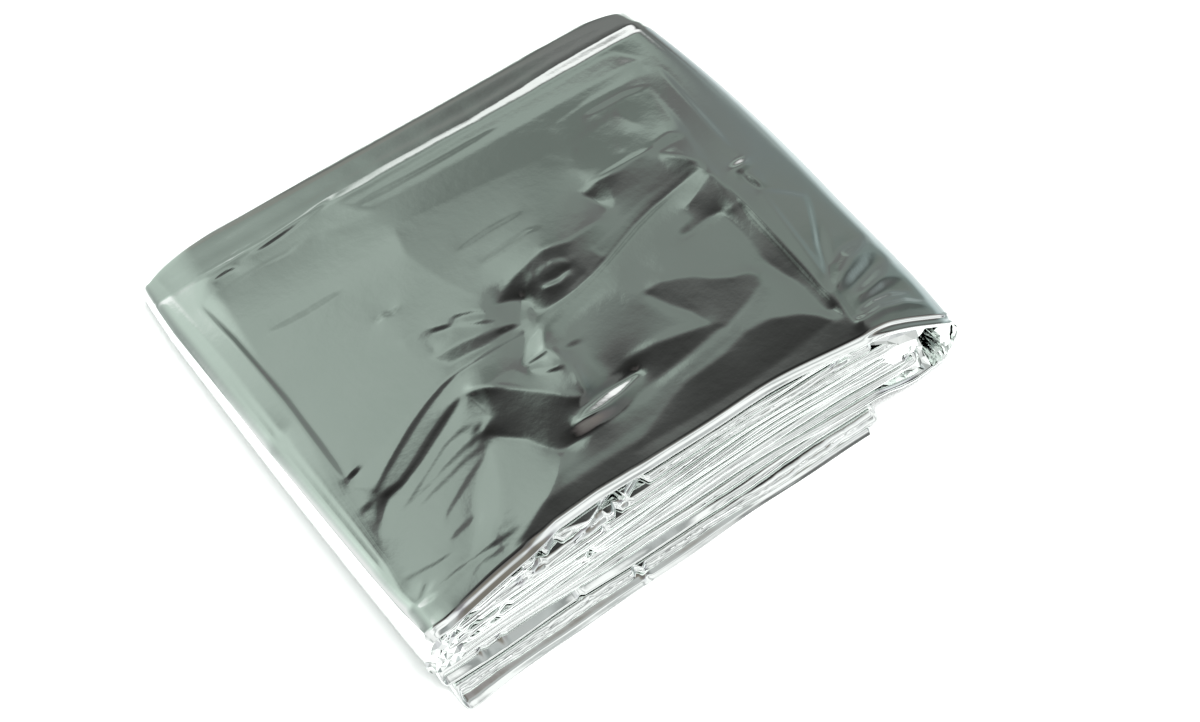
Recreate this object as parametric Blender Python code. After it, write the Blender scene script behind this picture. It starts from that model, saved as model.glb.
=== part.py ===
"""A folded emergency foil blanket: one sheet of metallised film, folded back and forth into a flat packet.

The film is first pleated across its width into a strip, and the strip is folded back and forth
along its length. The solid is that strip: thirteen passes lie on each other, and each one stands
for a stack of pleats, springy and thick at the front, where the folded edges fan out, and
pressed thin at the back. The top pass wraps the inner ones at both ends.

+X runs along the long side, +Y from the layered front to the pressed back, +Z up. The origin
is under the middle of the packet, on the surface it rests on.
"""

import math

import bmesh
import bpy

MM = 0.001

# The packet, in millimetres.
LEFT_WALL = -62.6  # where the top pass starts to turn down at the left end
RIGHT_WALL = 58.8  # the same at the right end, at the front and back corners
LEFT_BULGE = 0.7  # how far each wall bows out between its corners
RIGHT_BULGE = 3.0
RIGHT_CORNER = 1.5  # how much further the wrap reaches at the front corner
WRAP_DEPTH_LEFT = 2.9  # how far each wrap reaches past where it starts
WRAP_DEPTH_RIGHT = 3.9
WRAP_SQUARENESS = 2.5  # 2 is an ellipse, more is flatter-walled
INNER_LIMIT = -61.2  # the inner passes stay inside the left wrap
FILLED = 0.72  # film's share of a pass's height; the rest is the gap
FOLD_SEGMENTS = 4
WRAP_SEGMENTS = 10
PASS_SEGMENTS = 7

# Height of the whole stack at the plateau, from the front to the back.
STACK = (  # y, height
    (-66.0, 19.6),
    (-56.0, 18.9),
    (-18.0, 16.1),
    (16.0, 13.1),
    (36.0, 10.9),
    (50.0, 8.9),
    (62.0, 6.8),
)

# Where the front edge is given for each pass.
FRONT_AT = (-60.0, -40.0, -10.0, 20.0, 50.0, 62.0)

# One row for each pass, from the bottom up. The front_ columns are the front edge's Y at the
# stations of FRONT_AT, and back is the back edge's Y.
PASSES = (
    # name, front_1, front_2, front_3, front_4, front_5, front_6, back
    ("under_1", -63.1, -61.4, -60.1, -59.5, -58.9, -58.8, 50.0),
    ("under_2", -60.2, -59.0, -58.8, -58.3, -57.8, -57.7, 51.5),
    ("under_3", -57.4, -57.0, -56.5, -55.6, -55.2, -55.2, 52.0),
    ("cradle", -56.0, -55.2, -54.9, -54.6, -55.2, -54.2, 55.5),
    ("inner_1", -55.4, -54.6, -53.7, -53.0, -54.0, -54.2, 54.5),
    ("inner_2", -55.1, -54.2, -53.1, -52.2, -52.8, -53.0, 55.5),
    ("inner_3", -55.3, -54.1, -52.7, -51.5, -52.3, -52.6, 54.0),
    ("inner_4", -54.9, -53.9, -52.2, -50.9, -51.7, -52.0, 54.5),
    ("inner_5", -55.1, -53.6, -51.8, -50.4, -51.5, -51.8, 53.0),
    ("inner_6", -54.8, -53.2, -51.3, -50.0, -51.3, -51.6, 53.5),
    ("inner_7", -54.9, -52.8, -50.6, -49.4, -49.8, -50.2, 52.0),
    ("inner_8", -54.4, -51.4, -49.2, -48.1, -48.4, -48.8, 50.5),
    ("top", -53.6, -50.4, -47.5, -47.2, -50.2, -54.6, 60.0),
)
NAME, FRONT, BACK = 0, 1, 7

# The strip's way through the passes, one row for each turn, from the lowest pass inwards. x is
# where the turn starts at y = 0, and lean is how much it moves along X for each millimetre of Y.
TURNS = (
    # from, to, side, x, lean
    ("under_1", "under_2", "left", -62.8, -0.02),
    ("under_2", "under_3", "right", 39.8, -0.02),
    ("under_3", "cradle", "left", -63.0, 0.0),
    ("cradle", "top", "right", RIGHT_WALL, 0.0),
    ("top", "inner_1", "left", LEFT_WALL, 0.0),
    ("inner_1", "inner_2", "right", 55.6, 0.03),
    ("inner_2", "inner_3", "left", -59.2, 0.03),
    ("inner_3", "inner_4", "right", 55.4, 0.04),
    ("inner_4", "inner_5", "left", -58.0, 0.05),
    ("inner_5", "inner_6", "right", 54.0, 0.06),
    ("inner_6", "inner_7", "left", -56.2, 0.09),
    ("inner_7", "inner_8", "right", 50.2, 0.11),
)
FREE_ENDS = (
    # pass, side, x, lean
    ("under_1", "right", 38.0, -0.02),
    ("inner_8", "left", -55.0, 0.11),
)

# The back outline of the top pass: it bows out between its two cut corners.
TOP_BACK = (  # x, y
    (-65.0, 53.8),
    (-57.0, 57.2),
    (-36.0, 60.2),
    (0.0, 61.2),
    (20.0, 61.4),
    (48.0, 59.6),
    (62.0, 54.6),
    (66.0, 51.5),
)
CURL_START = 48.0  # past this Y the top pass curls down over the inner ones
CURL_DROP = 3.4

# The top pass lies flat on the inner passes and slopes down past their ends.
SHOULDER_LEFT = 0.9
SHOULDER_RIGHT = 1.6
SHOULDER_WIDTH = 12.0  # a narrower margin drops less
# Right of the passes under it the cradle sags by this many passes.
SAG, SAG_START, SAG_WIDTH = 2.0, 43.0, 12.0
INNER_LEFT, INNER_RIGHT, INNER_LEAN = -57.4, 52.0, 0.11
TOP_STATIONS = (0.0, 0.03, 0.06, 0.09, 0.16, 0.27, 0.38, 0.49, 0.60, 0.71, 0.80, 0.86, 0.91, 0.95, 1.0)

# Soft ridges of the top pass: they meet near its middle, where the film was pinched.
RIDGES = (  # x1, y1, x2, y2, height, half width
    (-7.0, 0.0, 40.0, 14.0, 0.55, 6.0),
    (-7.0, 0.0, -46.0, -22.0, 0.45, 6.0),
    (-7.0, 0.0, 22.0, -26.0, 0.35, 7.0),
    (-7.0, 0.0, -34.0, 26.0, 0.25, 7.0),
)

# Y stations of every pass: distances from its front edge, lines that all passes share, and
# shares of the way from the last of those lines to its back edge.
NOSE = ((0.0, 0.40), (0.45, 0.88), (1.3, 1.0))  # distance, share of full thickness
SHARED_LINES = (-40.0, -24.0, -6.0, 12.0, 28.0, 40.0)
TAIL = ((0.40, 1.0), (0.72, 1.0), (0.92, 1.0), (1.0, 0.55))  # share, share of full thickness

ROW = {row[NAME]: row for row in PASSES}
LEVEL = {row[NAME]: i for i, row in enumerate(PASSES)}
ENDS = {}
for first, second, side, x, lean in TURNS:
    ENDS[first, side] = ENDS[second, side] = (x, lean)
for name, side, x, lean in FREE_ENDS:
    ENDS[name, side] = (x, lean)


def clamp(value, low=0.0, high=1.0):
    return min(max(value, low), high)


def ease(share):
    share = clamp(share)
    return share * share * (3.0 - 2.0 * share)


def along(table, at):
    """Reads a two-column table as a smooth line through its rows."""
    if at <= table[0][0]:
        return table[0][1]
    if at >= table[-1][0]:
        return table[-1][1]
    slopes = [(b[1] - a[1]) / (b[0] - a[0]) for a, b in zip(table, table[1:])]
    tangents = [slopes[0]]
    for a, b in zip(slopes, slopes[1:]):
        tangents.append(0.0 if a * b <= 0 else 2.0 * a * b / (a + b))
    tangents.append(slopes[-1])
    i = next(i for i in range(len(table) - 1) if at <= table[i + 1][0])
    (x0, y0), (x1, y1) = table[i], table[i + 1]
    h = x1 - x0
    t = (at - x0) / h
    return (
        y0 * (1 + 2 * t) * (1 - t) ** 2
        + tangents[i] * h * t * (1 - t) ** 2
        + y1 * t * t * (3 - 2 * t)
        + tangents[i + 1] * h * t * t * (t - 1)
    )


def front_edge(row, x):
    """The layered edge of a pass, with a slight wave of its own."""
    level = LEVEL[row[NAME]]
    line = tuple(zip(FRONT_AT, row[FRONT : FRONT + len(FRONT_AT)]))
    wave = 0.22 * math.sin(x / 11.0 + 2.1 * level) + 0.12 * math.sin(x / 4.7 + 1.3 * level)
    return along(line, x) + wave


def back_edge(row, x):
    if row[NAME] == "top":
        return along(TOP_BACK, x)
    return row[BACK] + 0.4 * math.sin(x / 19.0 + LEVEL[row[NAME]])


def bow(y):
    """0 at the front and back corners, 1 halfway between them."""
    return 1.0 - clamp(abs(y) / 56.0) ** 2


def end_of(row, side, y):
    """X of a pass's end at this depth."""
    x, lean = ENDS[row[NAME], side]
    if x == RIGHT_WALL:
        return x + RIGHT_BULGE * bow(y) + RIGHT_CORNER * ease((-12.0 - y) / 40.0)
    if x == LEFT_WALL:
        return x - LEFT_BULGE * bow(y)
    x += lean * y
    return max(x, INNER_LIMIT) if row[NAME].startswith("inner") else x


def ridge_height(x, y):
    total = 0.0
    for x1, y1, x2, y2, height, half_width in RIDGES:
        dx, dy = x2 - x1, y2 - y1
        share = clamp(((x - x1) * dx + (y - y1) * dy) / (dx * dx + dy * dy))
        off = math.hypot(x - x1 - share * dx, y - y1 - share * dy)
        total = max(total, height * (1.0 - 0.6 * share) * ease(1.0 - off / half_width))
    return total


def middle_height(row, x, y):
    """Z of the middle of a pass's thickness, and the thickness."""
    pitch = along(STACK, y) / len(PASSES)
    z = (LEVEL[row[NAME]] + 0.5 * FILLED) * pitch
    if row[NAME] == "top":
        inner_right = INNER_RIGHT + INNER_LEAN * y
        inner_left = INNER_LEFT + INNER_LEAN * y
        z += 0.15 + ridge_height(x, y)
        right_margin = max(RIGHT_WALL + RIGHT_BULGE * bow(y) - inner_right, 2.0)
        left_margin = max(inner_left - LEFT_WALL + LEFT_BULGE * bow(y), 2.0)
        z -= SHOULDER_RIGHT * clamp(right_margin / SHOULDER_WIDTH) * ease((x - inner_right) / right_margin)
        z -= SHOULDER_LEFT * clamp(left_margin / SHOULDER_WIDTH) * ease((inner_left - x) / left_margin)
        z -= CURL_DROP * clamp((y - CURL_START) / (60.0 - CURL_START)) ** 2.2
    if row[NAME] == "cradle":
        z -= SAG * pitch * ease((x - SAG_START) / SAG_WIDTH)
    return z, FILLED * pitch


def depth_between(front, back, station):
    """Y of a station between the front and back edges, and its share of the full thickness."""
    if station < len(NOSE):
        distance, share = NOSE[station]
        return front + distance, share
    station -= len(NOSE)
    if station < len(SHARED_LINES):
        return SHARED_LINES[station], 1.0
    way, share = TAIL[station - len(SHARED_LINES)]
    return SHARED_LINES[-1] + way * (back - SHARED_LINES[-1]), share


STATIONS = len(NOSE) + len(SHARED_LINES) + len(TAIL)


def pass_points(row, forward, station):
    """The pass's middle line from end to end at one station: (x, y, z, thickness)."""
    shares = TOP_STATIONS if row[NAME] == "top" else [i / PASS_SEGMENTS for i in range(PASS_SEGMENTS + 1)]
    points = []
    for share in shares:
        y = 0.0
        for _ in range(3):
            left, right = end_of(row, "left", y), end_of(row, "right", y)
            x = left + share * (right - left)
            y, thin = depth_between(front_edge(row, x), back_edge(row, x), station)
        z, thickness = middle_height(row, x, y)
        points.append((x, y, z, thickness * thin))
    return points if forward else points[::-1]


def turn_points(row_a, row_b, side, station):
    """The turn from the end of one pass to the same end of the next, without its end points."""
    sign = -1.0 if side == "left" else 1.0
    wrap = "top" in (row_a[NAME], row_b[NAME])
    segments = WRAP_SEGMENTS if wrap else FOLD_SEGMENTS
    points = []
    for i in range(1, segments):
        angle = math.pi * i / segments
        mix = 0.5 - 0.5 * math.cos(angle)
        y = 0.0
        for _ in range(3):
            x = end_of(row_a, side, y)
            a_y, thin = depth_between(front_edge(row_a, x), back_edge(row_a, x), station)
            b_y, _thin = depth_between(front_edge(row_b, x), back_edge(row_b, x), station)
            y = a_y + mix * (b_y - a_y)
        a_z, a_thick = middle_height(row_a, x, y)
        b_z, b_thick = middle_height(row_b, x, y)
        sine, cosine = math.sin(angle), math.cos(angle)
        half = 0.5 * abs(b_z - a_z)
        if wrap:
            power = 2.0 / WRAP_SQUARENESS
            reach = min(WRAP_DEPTH_LEFT if side == "left" else WRAP_DEPTH_RIGHT, half)
            sine = sine**power
            cosine = math.copysign(abs(cosine) ** power, cosine)
        else:
            reach = half
        z = 0.5 * (a_z + b_z) - 0.5 * (b_z - a_z) * cosine
        points.append((x + sign * reach * sine, y, z, (a_thick + mix * (b_thick - a_thick)) * thin))
    return points


def strip_at(station):
    """The whole strip's middle line at one station, from its lowest end to its innermost one."""
    line = pass_points(ROW[TURNS[0][0]], False, station)
    for first, second, side, _x, _lean in TURNS:
        line += turn_points(ROW[first], ROW[second], side, station)
        line += pass_points(ROW[second], side == "left", station)
    return line


def both_faces(line):
    """The two faces of the film on either side of its middle line, in the plane across Y."""
    first, second = [], []
    for i, (x, y, z, thickness) in enumerate(line):
        before, after = line[max(i - 1, 0)], line[min(i + 1, len(line) - 1)]
        dx, dz = after[0] - before[0], after[2] - before[2]
        length = math.hypot(dx, dz)
        nx, nz = -dz / length, dx / length
        half = 0.5 * thickness
        first.append((x + nx * half, y, z + nz * half))
        second.append((x - nx * half, y, z - nz * half))
    return first, second


def clear_scene():
    for obj in list(bpy.data.objects):
        bpy.data.objects.remove(obj, do_unlink=True)


def build_sheet():
    bm = bmesh.new()
    loops = []
    for station in range(STATIONS):
        first, second = both_faces(strip_at(station))
        section = first + second[::-1]
        loops.append([bm.verts.new([c * MM for c in co]) for co in section])
    count = len(loops[0])
    for a, b in zip(loops, loops[1:]):
        for i in range(count):
            j = (i + 1) % count
            bm.faces.new((a[i], a[j], b[j], b[i]))
    for loop in (loops[0], loops[-1]):
        for i in range(count // 2 - 1):
            bm.faces.new((loop[i], loop[i + 1], loop[count - 2 - i], loop[count - 1 - i]))

    # The origin goes under the middle of the packet.
    low = [min(v.co[k] for v in bm.verts) for k in range(3)]
    high = [max(v.co[k] for v in bm.verts) for k in range(3)]
    middle = ((low[0] + high[0]) / 2, (low[1] + high[1]) / 2, low[2])
    for v in bm.verts:
        v.co.x -= middle[0]
        v.co.y -= middle[1]
        v.co.z = max(v.co.z - middle[2], 0.0)
        if v.co.z < 1e-7:
            v.co.z = 0.0
    bmesh.ops.recalc_face_normals(bm, faces=bm.faces)
    mesh = bpy.data.meshes.new("foil_sheet")
    bm.to_mesh(mesh)
    bm.free()
    mesh.shade_smooth()
    mesh.set_sharp_from_angle(angle=math.radians(40))
    sheet = bpy.data.objects.new("foil_sheet", mesh)
    bpy.context.scene.collection.objects.link(sheet)
    return sheet


def foil_material():
    material = bpy.data.materials.new("foil_sheet")
    material.use_nodes = True
    shader = material.node_tree.nodes["Principled BSDF"]
    shader.inputs["Base Color"].default_value = (0.80, 0.83, 0.81, 1.0)
    shader.inputs["Metallic"].default_value = 1.0
    shader.inputs["Roughness"].default_value = 0.12
    return material


clear_scene()
foil_sheet = build_sheet()
foil_sheet.data.materials.append(foil_material())
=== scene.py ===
"""Looks for a folded emergency foil blanket: thin metallised film on the packet's own folds.

The film follows the same strip as the solid it stands for: thirteen passes folded back and
forth, each a stack of pleats whose folded edges show as thin leaves along the front. The
creases of the top film are given, in millimetres, in the tables below.
"""

import math

import bpy
import numpy as np
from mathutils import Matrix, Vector


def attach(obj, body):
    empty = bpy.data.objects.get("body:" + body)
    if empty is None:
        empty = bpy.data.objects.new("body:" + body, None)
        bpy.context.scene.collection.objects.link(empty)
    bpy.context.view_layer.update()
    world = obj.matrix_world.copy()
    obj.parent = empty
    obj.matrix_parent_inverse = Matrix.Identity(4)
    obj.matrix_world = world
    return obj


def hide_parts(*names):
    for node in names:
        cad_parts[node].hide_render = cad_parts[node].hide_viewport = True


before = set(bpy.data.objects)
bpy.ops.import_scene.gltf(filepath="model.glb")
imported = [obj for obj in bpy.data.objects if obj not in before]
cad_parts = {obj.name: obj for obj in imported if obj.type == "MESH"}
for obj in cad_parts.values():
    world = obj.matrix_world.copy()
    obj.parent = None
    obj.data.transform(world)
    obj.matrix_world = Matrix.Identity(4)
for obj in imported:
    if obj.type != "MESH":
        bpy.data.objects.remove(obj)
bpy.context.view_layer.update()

MM = 0.001
MIDDLE = (-0.2632, -0.8290)  # middle of the packet's outline in the tables of the solid

# ---------------------------------------------------------------------------
# The packet's own folds, in millimetres, with the same tables as the solid.

LEFT_WALL, RIGHT_WALL = -62.6, 58.8
LEFT_BULGE, RIGHT_BULGE, RIGHT_CORNER = 0.7, 3.0, 1.5
WRAP_DEPTH_LEFT, WRAP_DEPTH_RIGHT = 2.9, 3.9
WRAP_SQUARENESS = 2.5
INNER_LIMIT = -61.2
FILLED = 0.72

STACK = (  # y, height
    (-66.0, 19.6),
    (-56.0, 18.9),
    (-18.0, 16.1),
    (16.0, 13.1),
    (36.0, 10.9),
    (50.0, 8.9),
    (62.0, 6.8),
)
FRONT_AT = (-60.0, -40.0, -10.0, 20.0, 50.0, 62.0)
PASSES = (
    # name, front_1, front_2, front_3, front_4, front_5, front_6, back
    ("under_1", -63.1, -61.4, -60.1, -59.5, -58.9, -58.8, 50.0),
    ("under_2", -60.2, -59.0, -58.8, -58.3, -57.8, -57.7, 51.5),
    ("under_3", -57.4, -57.0, -56.5, -55.6, -55.2, -55.2, 52.0),
    ("cradle", -56.0, -55.2, -54.9, -54.6, -55.2, -54.2, 55.5),
    ("inner_1", -55.4, -54.6, -53.7, -53.0, -54.0, -54.2, 54.5),
    ("inner_2", -55.1, -54.2, -53.1, -52.2, -52.8, -53.0, 55.5),
    ("inner_3", -55.3, -54.1, -52.7, -51.5, -52.3, -52.6, 54.0),
    ("inner_4", -54.9, -53.9, -52.2, -50.9, -51.7, -52.0, 54.5),
    ("inner_5", -55.1, -53.6, -51.8, -50.4, -51.5, -51.8, 53.0),
    ("inner_6", -54.8, -53.2, -51.3, -50.0, -51.3, -51.6, 53.5),
    ("inner_7", -54.9, -52.8, -50.6, -49.4, -49.8, -50.2, 52.0),
    ("inner_8", -54.4, -51.4, -49.2, -48.1, -48.4, -48.8, 50.5),
    ("top", -53.6, -50.4, -47.5, -47.2, -50.2, -54.6, 60.0),
)
TURNS = (
    # from, to, side, x, lean
    ("under_1", "under_2", "left", -62.8, -0.02),
    ("under_2", "under_3", "right", 39.8, -0.02),
    ("under_3", "cradle", "left", -63.0, 0.0),
    ("cradle", "top", "right", RIGHT_WALL, 0.0),
    ("top", "inner_1", "left", LEFT_WALL, 0.0),
    ("inner_1", "inner_2", "right", 55.6, 0.03),
    ("inner_2", "inner_3", "left", -59.2, 0.03),
    ("inner_3", "inner_4", "right", 55.4, 0.04),
    ("inner_4", "inner_5", "left", -58.0, 0.05),
    ("inner_5", "inner_6", "right", 54.0, 0.06),
    ("inner_6", "inner_7", "left", -56.2, 0.09),
    ("inner_7", "inner_8", "right", 50.2, 0.11),
)
FREE_ENDS = (
    # pass, side, x, lean
    ("under_1", "right", 38.0, -0.02),
    ("inner_8", "left", -55.0, 0.11),
)
TOP_BACK = (  # x, y
    (-65.0, 53.8),
    (-57.0, 57.2),
    (-36.0, 60.2),
    (0.0, 61.2),
    (20.0, 61.4),
    (48.0, 59.6),
    (62.0, 54.6),
    (66.0, 51.5),
)
CURL_START, CURL_DROP = 48.0, 3.4
SHOULDER_LEFT, SHOULDER_RIGHT, SHOULDER_WIDTH = 0.9, 1.6, 12.0
SAG, SAG_START, SAG_WIDTH = 2.0, 43.0, 12.0
INNER_LEFT, INNER_RIGHT, INNER_LEAN = -57.4, 52.0, 0.11

NAMES = [row[0] for row in PASSES]
TOP = len(PASSES) - 1
ENDS = {}
for first, second, side, x, lean in TURNS:
    ENDS[NAMES.index(first), side] = ENDS[NAMES.index(second), side] = (x, lean)
for name, side, x, lean in FREE_ENDS:
    ENDS[NAMES.index(name), side] = (x, lean)


def ease(share):
    share = np.clip(share, 0.0, 1.0)
    return share * share * (3.0 - 2.0 * share)


def along(table, at):
    """Reads a two-column table as a smooth line through its rows."""
    xs = np.array([row[0] for row in table], float)
    ys = np.array([row[1] for row in table], float)
    slopes = np.diff(ys) / np.diff(xs)
    inner = np.where(
        slopes[:-1] * slopes[1:] <= 0,
        0.0,
        2.0 * slopes[:-1] * slopes[1:] / np.where(slopes[:-1] + slopes[1:] == 0, 1.0, slopes[:-1] + slopes[1:]),
    )
    tangents = np.concatenate([[slopes[0]], inner, [slopes[-1]]])
    at = np.clip(np.asarray(at, float), xs[0], xs[-1])
    i = np.clip(np.searchsorted(xs, at, side="right") - 1, 0, len(xs) - 2)
    h = xs[i + 1] - xs[i]
    t = (at - xs[i]) / h
    return (
        ys[i] * (1 + 2 * t) * (1 - t) ** 2
        + tangents[i] * h * t * (1 - t) ** 2
        + ys[i + 1] * t * t * (3 - 2 * t)
        + tangents[i + 1] * h * t * t * (t - 1)
    )


def front_edge(level, x):
    line = tuple(zip(FRONT_AT, PASSES[level][1:7]))
    wave = 0.22 * np.sin(x / 11.0 + 2.1 * level) + 0.12 * np.sin(x / 4.7 + 1.3 * level)
    return along(line, x) + wave


def back_edge(level, x):
    if level == TOP:
        return along(TOP_BACK, x)
    return PASSES[level][7] + 0.4 * np.sin(x / 19.0 + level)


def bow(y):
    return 1.0 - np.clip(np.abs(y) / 56.0, 0.0, 1.0) ** 2


def end_of(level, side, y):
    x, lean = ENDS[level, side]
    if x == RIGHT_WALL:
        return x + RIGHT_BULGE * bow(y) + RIGHT_CORNER * ease((-12.0 - y) / 40.0)
    if x == LEFT_WALL:
        return x - LEFT_BULGE * bow(y)
    x = x + lean * y
    return np.maximum(x, INNER_LIMIT) if 4 <= level < TOP else x


def middle_height(level, x, y):
    pitch = along(STACK, y) / len(PASSES)
    z = (level + 0.5 * FILLED) * pitch
    if level == TOP:
        inner_right = INNER_RIGHT + INNER_LEAN * y
        inner_left = INNER_LEFT + INNER_LEAN * y
        z = z + 0.15
        right_margin = np.maximum(RIGHT_WALL + RIGHT_BULGE * bow(y) - inner_right, 2.0)
        left_margin = np.maximum(inner_left - LEFT_WALL + LEFT_BULGE * bow(y), 2.0)
        z = z - SHOULDER_RIGHT * np.clip(right_margin / SHOULDER_WIDTH, 0, 1) * ease((x - inner_right) / right_margin)
        z = z - SHOULDER_LEFT * np.clip(left_margin / SHOULDER_WIDTH, 0, 1) * ease((inner_left - x) / left_margin)
        z = z - CURL_DROP * np.clip((y - CURL_START) / (60.0 - CURL_START), 0, 1) ** 2.2
    if NAMES[level] == "cradle":
        z = z - SAG * pitch * ease((x - SAG_START) / SAG_WIDTH)
    return z, FILLED * pitch


def wobble(x, seed, scale=1.0):
    """A smooth uneven line between about -1 and 1, the same each run."""
    x = np.asarray(x, float) / scale
    return (
        0.46 * np.sin(x * 0.173 + seed * 2.399)
        + 0.30 * np.sin(x * 0.411 + seed * 4.127 + 0.7)
        + 0.18 * np.sin(x * 0.937 + seed * 1.618 + 2.1)
        + 0.10 * np.sin(x * 1.873 + seed * 3.303 + 4.4)
    )


# ---------------------------------------------------------------------------
# BEGIN RELIEF
# Creases of the packet, in millimetres in the part's frame. AWAY points from the viewer's
# side to the far side along the surface, and ASIDE to the right of it.

AWAY = np.array((0.5821, 0.8131))
ASIDE = np.array((0.8131, -0.5821))
LEVELLING, SIDEWAYS, ROUNDS = 0.0005, 0.55, 6

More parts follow.
